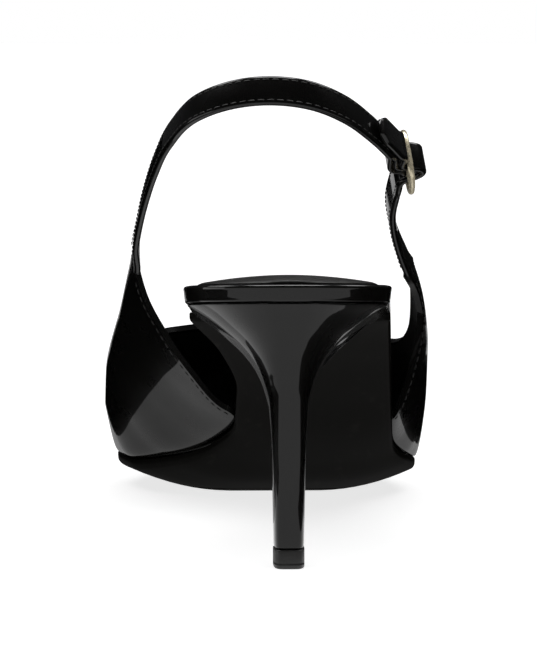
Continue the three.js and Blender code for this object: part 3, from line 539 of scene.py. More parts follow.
def lining(name):
    """Soft black lining leather with a fine pebbled grain."""
    made = material(name, (0.008, 0.0076, 0.007), 0.5, Specular_IOR_Level=0.4)
    shader = made.node_tree.nodes["Principled BSDF"]
    cells = add_node(made, "ShaderNodeTexVoronoi", Scale=1100.0)
    place = add_node(made, "ShaderNodeTexCoord")
    wire(made, place.outputs["Object"], cells.inputs["Vector"])
    patches = noise(made, 45, detail=5.0, roughness=0.65)
    wire(made, spread(made, patches, 0.42, 0.62), shader.inputs["Roughness"])
    wire(made, mix_colours(made, patches, (0.006, 0.0057, 0.0052), (0.012, 0.0112, 0.0104)),
         shader.inputs["Base Color"])
    bump(made, [cells.outputs["Distance"], patches], [0.05, 0.15])
    return made


def satin_sole(name):
    """Satin black sole leather with faint lengthwise scuffs."""
    made = material(name, (0.005, 0.0047, 0.004), 0.4, Specular_IOR_Level=0.0,
                    Coat_Weight=0.13, Coat_Roughness=0.28, Coat_IOR=1.45)
    shader = made.node_tree.nodes["Principled BSDF"]
    scuffs = noise(made, 240, detail=6.0, roughness=0.7, stretch=(1, 0.12, 1))
    patches = noise(made, 35, detail=4.0)
    wire(made, spread(made, patches, 0.27, 0.42), shader.inputs["Roughness"])
    wire(made, mix_colours(made, spread(made, scuffs, 0, 1, 0.58, 0.78), (0.0028, 0.0026, 0.0022),
                           (0.007, 0.0065, 0.0056)), shader.inputs["Base Color"])
    bump(made, [patches, scuffs], [0.12, 0.02])
    return made


def rubber(name):
    made = material(name, (0.017, 0.0165, 0.016), 0.5, Specular_IOR_Level=0.45)
    shader = made.node_tree.nodes["Principled BSDF"]
    speckle = noise(made, 2600, detail=3.0)
    patches = noise(made, 160, detail=3.0)
    wire(made, spread(made, patches, 0.38, 0.6), shader.inputs["Roughness"])
    wire(made, mix_colours(made, patches, (0.013, 0.0125, 0.012), (0.024, 0.0235, 0.023)),
         shader.inputs["Base Color"])
    bump(made, [speckle], [0.02])
    return made


def thread(name):
    made = material(name, (0.016, 0.0155, 0.015), 0.42, Specular_IOR_Level=0.6)
    twist = add_node(made, "ShaderNodeTexWave", Scale=900.0, Distortion=1.5)
    place = add_node(made, "ShaderNodeTexCoord")
    wire(made, place.outputs["Object"], twist.inputs["Vector"])
    shader = made.node_tree.nodes["Principled BSDF"]
    wire(made, mix_colours(made, twist.outputs["Fac"], (0.010, 0.0098, 0.0095), (0.026, 0.025, 0.024)),
         shader.inputs["Base Color"])
    bump(made, [twist.outputs["Fac"]], [0.04])
    return made


def pale_gold(name):
    made = material(name, (0.83, 0.74, 0.53), 0.26, Metallic=0.6)
    shader = made.node_tree.nodes["Principled BSDF"]
    tarnish = noise(made, 420, detail=4.0, roughness=0.6)
    scratches = noise(made, 3000, detail=2.0, stretch=(1, 0.2, 1))
    wire(made, spread(made, tarnish, 0.2, 0.36), shader.inputs["Roughness"])
    wire(made, mix_colours(made, tarnish, (0.78, 0.68, 0.46), (0.92, 0.84, 0.64)),
         shader.inputs["Base Color"])
    bump(made, [scratches], [0.004])
    return made


PATENT = patent("patent_leather")
LINING = lining("lining_leather")
SOLE = satin_sole("sole_leather")
RUBBER = rubber("top_piece_rubber")
THREAD = thread("stitching_thread")
GOLD = pale_gold("buckle_metal")


# Stitches
STITCH_LENGTH = 2.0
STITCH_PITCH = 2.5
THREAD_RADIUS = 0.13
STITCH_RINGS = 7
STITCH_SIDES = 6


def stitch_row(name, line, normals, lift=-0.02, pitch=STITCH_PITCH, length=STITCH_LENGTH):
    """A row of separate stitches along a line on a surface; each dips into its two holes."""
    line = np.asarray(line, float)
    normals = np.asarray(normals, float)
    lengths = lengths_along(line)
    count = int((lengths[-1] - length) // pitch) + 1
    first = (lengths[-1] - (count - 1) * pitch) / 2
    points = []
    faces = []
    for k in range(count):
        reach = np.linspace(-0.5, 0.5, STITCH_RINGS)
        where = first + k * pitch + reach * length
        centre = np.stack([np.interp(where, lengths, line[:, a]) for a in range(3)], axis=1)
        normal = unit(np.stack([np.interp(where, lengths, normals[:, a]) for a in range(3)], axis=1))
        along = unit(np.gradient(centre, axis=0))
        side = np.cross(along, normal)
        arch = lift + THREAD_RADIUS * 0.6 - (2 * reach) ** 4 * THREAD_RADIUS * 1.6
        radius = THREAD_RADIUS * (1 - 0.35 * (2 * np.abs(reach)) ** 3)
        centre = centre + normal * arch[:, None]
        turn = np.arange(STITCH_SIDES) * 2 * math.pi / STITCH_SIDES
        rings = (centre[:, None, :] + radius[:, None, None]
                 * (np.cos(turn)[None, :, None] * side[:, None, :]
                    + np.sin(turn)[None, :, None] * normal[:, None, :]))
        more_points, more_faces = loft(rings)
        start = sum(len(p) for p in points)
        points.append(more_points)
        faces += [tuple(start + v for v in face) for face in more_faces]
    return new_piece(name, np.vstack(points), faces, [THREAD], "patent_leather", merge=0.0001)


# Upper
UPPER_ALONG = 360
UPPER_ACROSS = 72
EDGE_ROUND = 0.42
STITCH_INSET = 1.7
FOLD_DEPTH = 1.2                # leather folded over the topline reaches this far inside


def upper_grids():
    outer = from_pattern(upper_pattern(UPPER_ALONG, UPPER_ACROSS))
    along = np.gradient(outer, axis=0)
    up = np.gradient(outer, axis=1)
    normals = unit(np.cross(up, along))
    if normals[UPPER_ALONG // 2, UPPER_ACROSS // 2, 2] < 0:
        normals = -normals
    inner_normals = normals.copy()
    inner_normals[:, 0, 2] = 0
    inner = outer - WALL * unit(inner_normals)
    return outer, inner, normals


def edge_distance(outer):
    """How far each point of the grid lies from the topline and from the wings' back edges."""
    up_steps = np.linalg.norm(np.diff(outer, axis=1), axis=2)
    from_top = np.cumsum(up_steps[:, ::-1], axis=1)[:, ::-1]
    from_top = np.concatenate([from_top, np.zeros((len(outer), 1))], axis=1)
    along_steps = np.linalg.norm(np.diff(outer, axis=0), axis=2)
    zero = np.zeros((1, outer.shape[1]))
    from_lateral = np.concatenate([zero, np.cumsum(along_steps, axis=0)])
    from_medial = from_lateral[-1] - from_lateral
    return from_top, from_lateral, from_medial


def upper_piece():
    outer, inner, _ = upper_grids()
    rows, columns = outer.shape[:2]
    from_top, from_lateral, from_medial = edge_distance(outer)
    from_edge = np.minimum(from_top, np.minimum(from_lateral, from_medial))
    points = np.vstack([outer.reshape(-1, 3), inner.reshape(-1, 3)])
    offset = rows * columns
    faces = grid_faces(rows, columns)
    slots = [0] * len(faces)
    for i in range(rows - 1):
        for j in range(columns - 1):
            slots.append(0 if from_edge[i : i + 2, j : j + 2].min() < FOLD_DEPTH else 1)
    faces += grid_faces(rows, columns, offset)
    ring = [i * columns for i in range(rows)]
    ring += [(rows - 1) * columns + j for j in range(1, columns)]
    ring += [i * columns + columns - 1 for i in range(rows - 2, -1, -1)]
    ring += [j for j in range(columns - 2, 0, -1)]
    for a, b in zip(ring, ring[1:] + ring[:1]):
        faces.append((a, b, offset + b, offset + a))
        slots.append(0)
    piece = new_piece("upper_shell", points, faces, [PATENT, LINING], "patent_leather", face_slots=slots)
    round_edges(piece, EDGE_ROUND)
    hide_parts("upper")
    return piece


def line_at_distance(grid, normals, distance, wanted):
    """For each row of a grid, the point and normal at a distance measured along the row."""
    places = []
    directions = []
    for row, row_normals, measured in zip(grid, normals, distance):
        order = np.argsort(measured)
        places.append([np.interp(wanted, measured[order], row[order, a]) for a in range(3)])
        directions.append([np.interp(wanted, measured[order], row_normals[order, a]) for a in range(3)])
    return np.array(places), unit(np.array(directions))


def upper_stitches():
    outer, _, normals = upper_grids()
    from_top, from_lateral, from_medial = edge_distance(outer)
    ends = round(UPPER_ALONG * WING_END_SHARE)
    line, way = line_at_distance(outer, normals, from_top, STITCH_INSET)
    stitch_row("topline_stitches", line[ends + 4 : -ends - 4], way[ends + 4 : -ends - 4])
    across = (1, 0, 2)
    for side, measured in (("lateral", from_lateral), ("medial", from_medial)):
        line, way = line_at_distance(
            outer.transpose(across), normals.transpose(across), measured.T, STITCH_INSET)
        stitch_row(side + "_wing_stitches", line[4:-3], way[4:-3])


# Plates: each level is a contour of the sole, drawn in by an inset, at its own height
PLATE_ROWS = 170
PLATE_ACROSS = 24
TOE_ROUND = 6


def stations(first, last):
    steps = LENGTH * (1 - np.cos(np.pi * np.arange(1, PLATE_ROWS) / PLATE_ROWS)) / 2
    kept = steps[(steps > first + 0.01) & (steps < last - 0.2)]
    return np.concatenate([[first], kept, [last]])


def contour(y, inset, first, last):
    """Rows across the sole at stations, with the whole outline drawn in by an inset."""
    inner, outer = outline(y)
    middle = (inner + outer) / 2
    half = (outer - inner) / 2
    seat_half = np.where(y < SEAT_ROUND, SEAT_WIDTH / 2, half)
    local = np.maximum(seat_half, TOE_ROUND)
    half = half * np.clip(1 - inset / local, 0, 1)
    reach_back = SEAT_ROUND if first == 0 else 2
    moved = (y + inset * np.clip(1 - (y - first) / reach_back, 0, 1)
             - inset * np.clip(1 - (last - y) / TOE_ROUND, 0, 1))
    across = np.linspace(-1, 1, PLATE_ACROSS + 1)
    x = middle[:, None] + half[:, None] * across[None, :]
    full = np.maximum((outer - inner) / 2, 1e-6)
    share = np.clip(half[:, None] * across[None, :] / full[:, None], -1, 1)
    return x, np.repeat(moved[:, None], PLATE_ACROSS + 1, axis=1), share


def plate_piece(name, first, last, levels, materials, slot, taper=None):
    """levels run from the underside up, as (inset, height function, material number above it)."""
    y = stations(first, last)
    rows = len(y)
    columns = PLATE_ACROSS + 1
    count = rows * columns
    points = []
    for inset, height, _ in levels:
        drawn_in = inset + (taper(y) if taper else 0)
        x, moved, share = contour(y, drawn_in, first, last)
        z = height(y[:, None] + 0 * x, share)
        points.append(np.stack([x, moved, z], axis=-1).reshape(-1, 3))
    ring = [i * columns for i in range(rows)]
    ring += [(rows - 1) * columns + j for j in range(1, columns)]
    ring += [i * columns + columns - 1 for i in range(rows - 2, -1, -1)]
    ring += [j for j in range(columns - 2, 0, -1)]
    faces = grid_faces(rows, columns)
    slots = [levels[0][2]] * len(faces)
    for k in range(len(levels) - 1):
        for a, b in zip(ring, ring[1:] + ring[:1]):
            faces.append((k * count + a, k * count + b, (k + 1) * count + b, (k + 1) * count + a))
            slots.append(levels[k][2])
    top = grid_faces(rows, columns, (len(levels) - 1) * count)
    faces += top
    slots += [levels[-1][2]] * len(top)
    return new_piece(name, np.vstack(points), faces, materials, slot, face_slots=slots)


def insole_thickness(y):
    waist = smoothstep(y / LENGTH, 0.16, 0.30)
    back = RAND_THICKNESS + (SHANK_THICKNESS - RAND_THICKNESS) * waist
    return back + (INSOLE_THICKNESS - back) * smoothstep(y / LENGTH, 0.40, 0.46)


def insole_pieces():
    def level(up):
        return lambda y, across: sole_top(y, across) + GAP + up * insole_thickness(y)

    def sock_level(drop):
        return lambda y, across: sole_top(y, across) + GAP + insole_thickness(y) - drop

    levels = [
        (0.80, level(0), 0), (0.52, level(0.03), 0), (0.38, level(0.12), 0), (0.29, level(0.30), 0),
        (0.19, level(0.50), 0), (0.08, level(0.70), 0), (0.0, level(0.84), 0), (0.08, level(0.92), 0),
        (0.35, level(0.975), 0), (0.9, level(1.0), 0), (1.9, sock_level(0.0), 0),
        (2.15, sock_level(0.12), 1), (2.4, sock_level(0.10), 1),
    ]
    front = LENGTH - WALL * 3

    def taper(y):
        return smoothstep(y / LENGTH, 0.40, 0.46) * (WALL + 2 * GAP)

    piece = plate_piece("covered_insole", 0, front, levels, [PATENT, LINING], "patent_leather", taper)
    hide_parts("insole")


def outsole_piece():
    def level(up):
        return lambda y, across: (walking_height(y) + edge_lift(y, across) + up * SOLE_THICKNESS)

    levels = [
        (0.95, level(0), 0), (0.55, level(0.05), 0), (0.22, level(0.17), 0), (0.05, level(0.36), 0),
        (0.0, level(0.6), 0), (0.0, level(0.85), 0), (0.12, level(0.96), 0), (0.4, level(1.0), 0),
    ]
    piece = plate_piece("satin_outsole", HEEL_LENGTH + GAP, LENGTH - GAP, levels, [SOLE], "sole_leather")
    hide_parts("outsole")


PAD_ROWS = 60
PAD_SQUARENESS = 0.35
PAD_WELT = 1.3                  # width of the flat sewn edge round the pad


def pad_piece():
    rows = []
    cosines = np.cos(np.pi * np.linspace(0, 1, PAD_ROWS + 1))
    across = np.sin(np.pi / 2 * np.linspace(-1, 1, PLATE_ACROSS * 2 + 1))
    for cosine in cosines:
        fullness = math.sqrt(max(0, 1 - cosine * cosine))
        y = PAD_INSET + PAD_LENGTH * (1 - cosine) / 2
        inner, outer = outline(y)
        half = max(0, (outer - inner) / 2 - PAD_INSET) * fullness**PAD_SQUARENESS
        seat = sole_top(y, across * half * 2 / (outer - inner)) + 2 * GAP + insole_thickness(y)
        crown = (1 - across**2) * fullness
        edge = np.minimum(1, (1 - np.abs(across)) * max(half, 1e-6) / PAD_WELT)
        rounded = PAD_EDGE * (0.35 + 0.65 * np.sqrt(np.clip(edge, 0, 1)))
        height = seat + rounded + (PAD_CROWN - PAD_EDGE) * crown
        x = (inner + outer) / 2 + half * across
        top = np.stack([x, np.full_like(x, y), height], axis=1)
        bottom = np.stack([x, np.full_like(x, y), seat], axis=1)
        rows.append((bottom, top))
    bottom = np.array([row[0] for row in rows])
    top = np.array([row[1] for row in rows])
    count, columns = top.shape[:2]
    points = np.vstack([bottom.reshape(-1, 3), top.reshape(-1, 3)])
    offset = count * columns
    faces = grid_faces(count, columns) + grid_faces(count, columns, offset)
    ring = [i * columns for i in range(count)]
    ring += [(count - 1) * columns + j for j in range(1, columns)]
    ring += [i * columns + columns - 1 for i in range(count - 2, -1, -1)]
    ring += [j for j in range(columns - 2, 0, -1)]
    faces += [(a, b, offset + b, offset + a) for a, b in zip(ring, ring[1:] + ring[:1])]
    piece = new_piece("padded_heel_sock", points, faces, [LINING], "lining_leather")
    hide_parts("heel_pad")


# Heel and top piece
HEEL_AROUND = 110
HEEL_RINGS = 90
HEEL_BREAST_STEPS = 18
TIP_BACK_ROUNDING = 0.5
TIP_SIDE_ROUNDING = 0.42
heel_share = {column: table_line(HEEL_LEVELS["height"], HEEL_LEVELS[column]) for column in ("side", "back", "breast")}


def tip_outline(lip=0.0):
    angle = np.pi * np.linspace(0, 1, HEEL_AROUND + 1)
    rounded = np.maximum(0, np.sin(angle)) ** TIP_BACK_ROUNDING
    wide = np.sign(np.cos(angle)) * np.abs(np.cos(angle)) ** TIP_SIDE_ROUNDING
    x = -(TIP_WIDTH / 2 + lip) * wide
    y = TIP_BACK + TIP_LENGTH + lip - (TIP_LENGTH + 2 * lip) * rounded
    return np.stack([x, y], axis=1)


def seat_outline():
    angle = np.pi * np.linspace(0, 1, HEEL_AROUND + 1)
    y = HEEL_LENGTH * (1 - np.sin(angle))
    inner, outer = outline(y)
    edge = np.where(angle < np.pi / 2, inner, outer)
    drawn_in = edge - np.sign(edge) * np.minimum(HEEL_INSET, np.abs(edge))
    return np.stack([drawn_in, np.maximum(y, HEEL_INSET)], axis=1)


def closed_ring(line, heights, hollow):
    t = np.arange(1, HEEL_BREAST_STEPS) / HEEL_BREAST_STEPS
    breast = line[-1] + (line[0] - line[-1]) * t[:, None]
    breast[:, 1] -= hollow * np.sin(np.pi * t)
    breast_heights = heights[-1] + (heights[0] - heights[-1]) * t
    flat = np.vstack([line, breast])
    return np.column_stack([flat, np.concatenate([heights, breast_heights])])


def heel_piece():
    tip = tip_outline()
    seat = seat_outline()
    start = TOP_PIECE_HEIGHT + GAP
    top = sole_top(seat[:, 1], 0)
    front = 1 - np.sin(np.pi * np.linspace(0, 1, HEEL_AROUND + 1))
    rings = []
    for h in np.linspace(0, 1, HEEL_RINGS + 1) ** 0.8:
        along = heel_share["back"](h) + (heel_share["breast"](h) - heel_share["back"](h)) * front
        side = heel_share["side"](h)
        line = np.stack([
            tip[:, 0] + (seat[:, 0] - tip[:, 0]) * side,
            tip[:, 1] + (seat[:, 1] - tip[:, 1]) * along,
        ], axis=1)
        rings.append(closed_ring(line, start + (top - start) * h, 1.2 + 5 * side))
    points, faces = loft(rings)
    piece = new_piece("covered_heel", points, faces, [PATENT], "patent_leather")
    round_edges(piece, 0.45, angle=35)
    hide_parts("heel")


def top_piece():
    line = tip_outline(0.15)
    rings = []
    for z, inset in ((0, 0.35), (0.12, 0.12), (0.35, 0.0), (4.6, 0.0), (4.85, 0.06), (5.0, 0.25)):
        middle = np.array([0, TIP_BACK + TIP_LENGTH / 2])
        drawn = middle + (line - middle) * (1 - inset / (TIP_WIDTH / 2))
        rings.append(closed_ring(drawn, np.full(len(drawn), float(z)), 0))
    points, faces = loft(rings)
    piece = new_piece("rubber_top_piece", points, faces, [RUBBER], "top_piece_rubber")
    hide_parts("top_piece")


# Straps
uphill = np.array([0, -math.cos(STRAP_PITCH), math.sin(STRAP_PITCH)])


def place_on(row):
    return np.array([row[0] * SEAT_WIDTH, row[1] * LENGTH, row[2] * SLING_HEIGHT])


def standing(x):
    lean = -math.tan(BUCKLE_LEAN) * np.clip(np.asarray(x, float) / (SEAT_WIDTH / 2), -1, 1)
    up = np.stack([lean, np.full_like(lean, math.sin(STRAP_PITCH)), np.full_like(lean, math.cos(STRAP_PITCH))], -1)
    return unit(up)


buckle_centre = place_on(BUCKLE_CENTRE)
buckle_up = standing(buckle_centre[0])
buckle_out = unit(np.cross(buckle_up, uphill))
buckle_back = unit(np.cross(buckle_out, buckle_up))


def at_buckle(back, out, up=0.0):
    return buckle_centre + back * buckle_back + out * buckle_out + up * buckle_up


def strap_frames(line, side=None):
    """Directions along, up and out of a strap, which leaves its wing lying as the wing's end lies."""
    along = unit(np.gradient(line, axis=0))
    up = standing(line[:, 0])
    if side:
        share = smoothstep(lengths_along(line), 3, 26)[:, None]
        up = unit(wing_hand(side) * (1 - share) + up * share)
    up = unit(up - along * (up * along).sum(1, keepdims=True))
    return along, up, np.cross(along, up)


def strap_rings(line, thickness, width, side, rounding=0.85, corner_steps=4):
    """Rounded sections square to the strap's line, bowed like the wing at its start."""
    _, up, out = strap_frames(line, side)
    bow = wing_bow(side) * (1 - smoothstep(lengths_along(line), LEAD_INSIDE, LEAD_INSIDE + 14))
    rings = []
    half = width / 2
    thick = thickness / 2
    radius = np.minimum(thick, half) * rounding
    angles = np.linspace(0, np.pi / 2, corner_steps + 1)
    for quarter in range(4):
        sign_out, sign_up = ((1, -1), (1, 1), (-1, 1), (-1, -1))[quarter]
        for angle in angles:
            turned = angle + (quarter - 1) * np.pi / 2
            a = sign_out * (thick - radius) + radius * np.cos(turned)
            b = sign_up * (half - radius) + radius * np.sin(turned)
            a = a - bow * (b / half) ** 2
            rings.append(line + out * a[:, None] + up * b[:, None])
    return np.stack(rings, axis=1)


def inside_wing(side, depth):
    """A point in the middle of the wing's wall, some way down from its strap end."""
    step = 2e-3
    ways = np.array([(1, 0), (-1, 0), (0, 1), (0, -1)]) * step
    end = np.array(wing_end_points(side, [0.5])[0])
    around = from_pattern(end + ways)
    slopes = np.stack([around[0] - around[1], around[2] - around[3]], axis=1) / (2 * step)
    spot = end + np.linalg.lstsq(slopes, -uphill * depth, rcond=None)[0]
    around = from_pattern(spot + ways)
    normal = unit(np.cross(around[2] - around[3], around[0] - around[1]))
    return from_pattern(spot) - normal * WALL / 2


def wing_hand(side):
    """Direction across a wing's strap end, from its back edge up to its topline."""
    back, front = from_pattern(np.array(wing_end_points(side, [0, 1])))
    return unit(front - back)


LEAD_INSIDE = 6                 # the strap begins this far inside its wing


def strap_start(side):
    return [inside_wing(side, LEAD_INSIDE), inside_wing(side, LEAD_INSIDE / 2), inside_wing(side, 0)]


def wing_bow(side):
    """How far the wing's strap end bulges over its own chord."""
    back, middle, front = from_pattern(np.array(wing_end_points(side, [0, 0.5, 1])))
    return np.linalg.norm(middle - (back + front) / 2)


BAR_RADIUS = WIRE / 2
RIM = (BUCKLE_WIDTH - WIRE) / 2
FOLD_RADIUS = BAR_RADIUS + GAP + FOLD_THICKNESS / 2
OVER_BAR = BAR_RADIUS + 2.5 * GAP + FOLD_THICKNESS + STRAP_THICKNESS / 2
UNDER_RIM = -(BAR_RADIUS + GAP + STRAP_THICKNESS / 2)
SLING_UNDER = UNDER_RIM - STRAP_THICKNESS / 2 - GAP - FOLD_THICKNESS / 2
END_UNDER = SLING_UNDER - FOLD_THICKNESS - GAP
LAP_GAP = 2.4
STRAP_STEP = 0.6


def evenly(points, step=STRAP_STEP):
    line = drawn_evenly(points)
    return spaced(line, max(2, round(lengths_along(line)[-1] / step)))


def sling_main():
    return evenly([
        *strap_start("medial"),
        *[place_on(row) for row in SLING_LINE],
        at_buckle(RIM + 3.2, SLING_UNDER),
        at_buckle(RIM, SLING_UNDER),
    ])


def sling_fold():
    return evenly([
        at_buckle(RIM, SLING_UNDER),
        at_buckle(RIM * 0.74, SLING_UNDER * 0.98),
        at_buckle(RIM * 0.50, SLING_UNDER * 0.79),
        at_buckle(RIM * 0.34, SLING_UNDER * 0.40),
        at_buckle(FOLD_RADIUS, -FOLD_RADIUS * 0.06),
        at_buckle(FOLD_RADIUS * 0.62, FOLD_RADIUS * 0.80),
        at_buckle(-FOLD_RADIUS * 0.1, FOLD_RADIUS),
        at_buckle(-FOLD_RADIUS * 0.78, FOLD_RADIUS * 0.68),
        at_buckle(-FOLD_RADIUS, -FOLD_RADIUS * 0.1),
        at_buckle(-FOLD_RADIUS * 0.62, -FOLD_RADIUS * 0.86),
        at_buckle(FOLD_RADIUS * 0.05, -FOLD_RADIUS * 1.06),
        at_buckle(FOLD_RADIUS * 0.36, -FOLD_RADIUS * 1.60),
        at_buckle(RIM * 0.25, END_UNDER * 0.80),
        at_buckle(RIM * 0.54, END_UNDER * 0.97),
        at_buckle(RIM, END_UNDER),
        at_buckle(FOLD_LENGTH, END_UNDER),
    ], step=0.3)


EDGE_STITCH = 1.15              # stitches from the strap's edge


def edge_stitches(name, line, width, thickness, first, last, side=None, outward=1):
    """A row of stitches near each edge of a strap, on one of its faces."""
    lengths = lengths_along(line)
    kept = (lengths >= first) & (lengths <= lengths[-1] - last)
    _, up, out = strap_frames(line, side)
    for edge, sign in (("upper", 1), ("lower", -1)):
        shift = sign * (width / 2 - EDGE_STITCH)
        place = line + up * shift + out * outward * thickness / 2
        stitch_row(name + "_" + edge + "_stitches", place[kept], (out * outward)[kept])


def strap_growth(lengths):
    """A strap starts thin inside its wing's wall and is only just thicker where it leaves it."""
    inside = 0.84 + 0.12 * smoothstep(lengths, 3, LEAD_INSIDE)
    return inside + 0.04 * smoothstep(lengths, LEAD_INSIDE, LEAD_INSIDE + 4)


def sling_piece():
    main = sling_main()
    fold = sling_fold()
    line = np.vstack([main, fold[1:]])
    lengths = lengths_along(main)
    from_end = np.concatenate([lengths[-1] - lengths, np.zeros(len(fold) - 1)])
    skive = smoothstep(from_end, 1, SKIVE_LENGTH)
    shoulder = smoothstep(from_end, SKIVE_LENGTH - 2, SKIVE_LENGTH)
    thickness = FOLD_THICKNESS + (STRAP_THICKNESS - FOLD_THICKNESS) * skive
    thickness *= strap_growth(np.concatenate([lengths, np.full(len(fold) - 1, 99.0)]))
    width = FOLD_WIDTH + (STRAP_WIDTH - FOLD_WIDTH) * shoulder
    points, faces = loft(strap_rings(line, thickness, width, "medial"))
    piece = new_piece("sling", points, faces, [PATENT], "patent_leather")
    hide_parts("sling_band")
    edge_stitches("sling", main, STRAP_WIDTH, STRAP_THICKNESS, 8, SKIVE_LENGTH + 2, "medial")
    return piece


def buckle_strap_line():
    main = sling_main()
    lengths = lengths_along(main)
    _, _, out = strap_frames(main)
    apart = STRAP_THICKNESS + GAP * LAP_GAP
    from_end = lengths[-1] - lengths
    reach = np.linspace(4.5, TIP_LAP, 6)
    lap = [
        np.array([np.interp(-r, -from_end, (main + out * apart)[:, a]) for a in range(3)]) for r in reach
    ]
    return evenly([
        *strap_start("lateral"),
        *[place_on(row) for row in STRAP_LINE],
        at_buckle(-RIM - 4, UNDER_RIM * 1.2),
        at_buckle(-RIM, UNDER_RIM * 1.06),
        at_buckle(-RIM * 0.75, UNDER_RIM * 0.66),
        at_buckle(-RIM * 0.62, 0),
        at_buckle(-RIM * 0.46, OVER_BAR * 0.52),
        at_buckle(-RIM * 0.27, OVER_BAR * 0.87),
        at_buckle(0, OVER_BAR),
        at_buckle(RIM * 0.27, OVER_BAR * 0.87),
        at_buckle(RIM * 0.46, OVER_BAR * 0.52),
        at_buckle(RIM * 0.62, 0),
        at_buckle(RIM * 0.75, UNDER_RIM * 0.64),
        at_buckle(RIM, UNDER_RIM * 1.02),
        *lap,
    ], step=0.35)


def punch(piece, holes, length):
    """Cuts round holes, given as a centre and an axis, through a piece."""
    for centre, axis in holes:
        work = bmesh.new()
        bmesh.ops.create_cone(work, cap_ends=True, segments=24, radius1=HOLE_DIAMETER / 2 * MM,
                              radius2=HOLE_DIAMETER / 2 * MM, depth=length * MM)
        turn = Vector(axis).to_track_quat("Z", "Y").to_matrix().to_4x4()
        turn.translation = Vector(to_row(centre))
        bmesh.ops.transform(work, matrix=turn, verts=work.verts)
        mesh = bpy.data.meshes.new("cutter")
        work.to_mesh(mesh)
        work.free()
        cutter = bpy.data.objects.new("cutter", mesh)
        bpy.context.scene.collection.objects.link(cutter)
        cut = piece.modifiers.new("hole", "BOOLEAN")
        cut.object = cutter
        cut.operation = "DIFFERENCE"
        cut.solver = "EXACT"
        bpy.context.view_layer.update()
        seen = piece.evaluated_get(bpy.context.evaluated_depsgraph_get())
        shaped = bpy.data.meshes.new_from_object(seen)
        piece.modifiers.remove(cut)
        piece.data = shaped
        bpy.data.objects.remove(cutter)


def buckle_strap_piece():
    line = buckle_strap_line()
    lengths = lengths_along(line)
    left = np.clip((lengths[-1] - lengths) / TIP_CHAMFER, 0, 1)
    width = STRAP_WIDTH * (TIP_BLUNTNESS + (1 - TIP_BLUNTNESS) * left)
    thickness = STRAP_THICKNESS * strap_growth(lengths)
    thickness *= 0.55 + 0.45 * np.sqrt(np.clip((lengths[-1] - lengths) / 0.9, 0, 1))
    points, faces = loft(strap_rings(line, thickness, width, "lateral"))
    piece = new_piece("ankle_strap", points, faces, [PATENT], "patent_leather")
    main = sling_main()
    from_end = lengths_along(main)[-1] - lengths_along(main)
    _, _, out = strap_frames(main)
    spot = int(np.argmin(np.abs(from_end - SPARE_HOLE)))
    lap = main[spot] + out[spot] * (STRAP_THICKNESS + GAP * LAP_GAP)
    punch(piece, [(lap, out[spot])], STRAP_THICKNESS * 2)
    punch(piece, [(at_buckle(-RIM * 0.5, FOLD_RADIUS), buckle_back)], RIM * 0.8)
    for edge in piece.data.edges:
        edge.use_edge_sharp = False
    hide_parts("buckle_strap")
    edge_stitches("ankle_strap", line, STRAP_WIDTH, STRAP_THICKNESS, 8, 3.6, "lateral")
    return piece


# Buckle
FRAME_STEPS = 120
WIRE_SIDES = 20
FRAME_SQUARENESS = 3


def buckle_frame_piece():
    half_long = (BUCKLE_LENGTH - WIRE) / 2
    angle = 2 * np.pi * (np.arange(FRAME_STEPS) + 0.5) / FRAME_STEPS

    def spot(a):
        def rounded(v):
            return np.sign(v) * np.abs(v) ** (2 / FRAME_SQUARENESS)
        back = RIM * rounded(np.cos(a))
        up = half_long * rounded(np.sin(a))
        return buckle_centre + back[:, None] * buckle_back + up[:, None] * buckle_up

    centre = spot(angle)
    along = unit(spot(angle + 0.02) - spot(angle - 0.02))
    side = np.cross(along, buckle_out)
    turn = 2 * np.pi * np.arange(WIRE_SIDES) / WIRE_SIDES
    rings = (centre[:, None, :] + WIRE / 2 * (np.cos(turn)[None, :, None] * side[:, None, :]
             + np.sin(turn)[None, :, None] * buckle_out))
    faces = []
    for i in range(FRAME_STEPS):
        following = (i + 1) % FRAME_STEPS
        for j in range(WIRE_SIDES):
            beside = (j + 1) % WIRE_SIDES
            faces.append((i * WIRE_SIDES + j, i * WIRE_SIDES + beside,
                          following * WIRE_SIDES + beside, following * WIRE_SIDES + j))
    piece = new_piece("oval_buckle", rings.reshape(-1, 3), faces, [GOLD], "buckle_metal")
    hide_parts("buckle_frame")
    bar_line = [at_buckle(0, 0, up) for up in np.linspace(-half_long, half_long, 12)]
    bar = tube(bar_line, np.full(12, BAR_RADIUS * 0.95), buckle_back, buckle_out)
    new_piece("buckle_bar", *bar, [GOLD], "buckle_metal")


def tube(line, radius, first_way, second_way, sides=16):
    turn = 2 * np.pi * np.arange(sides) / sides
    line = np.asarray(line, float)
    rings = (line[:, None, :] + np.asarray(radius)[:, None, None]
             * (np.cos(turn)[None, :, None] * first_way + np.sin(turn)[None, :, None] * second_way))
    return loft(rings)


def prong_piece():
    reach = BAR_RADIUS + GAP + PRONG_THICKNESS / 2
    hook = [
        at_buckle(reach * math.cos(a), reach * math.sin(a))
        for a in np.linspace(math.pi / 2, -math.pi * 0.75, 9)
    ]
    line = evenly([at_buckle(-RIM - PRONG_THICKNESS, reach), at_buckle(-RIM * 0.55, reach), *hook], 0.3)
    lengths = lengths_along(line)
    along = unit(np.gradient(line, axis=0))
    side = unit(np.cross(along, buckle_up))
    radius = PRONG_THICKNESS / 2 * np.sqrt(np.clip(lengths / 0.8 + 0.15, 0, 1))
    turn = 2 * np.pi * np.arange(14) / 14
    rings = (line[:, None, :] + radius[:, None, None]
             * (np.cos(turn)[None, :, None] * side[:, None, :] + np.sin(turn)[None, :, None] * buckle_up))
    points, faces = loft(rings)
    piece = new_piece("prong", points, faces, [GOLD], "buckle_metal")
    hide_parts("buckle_prong")


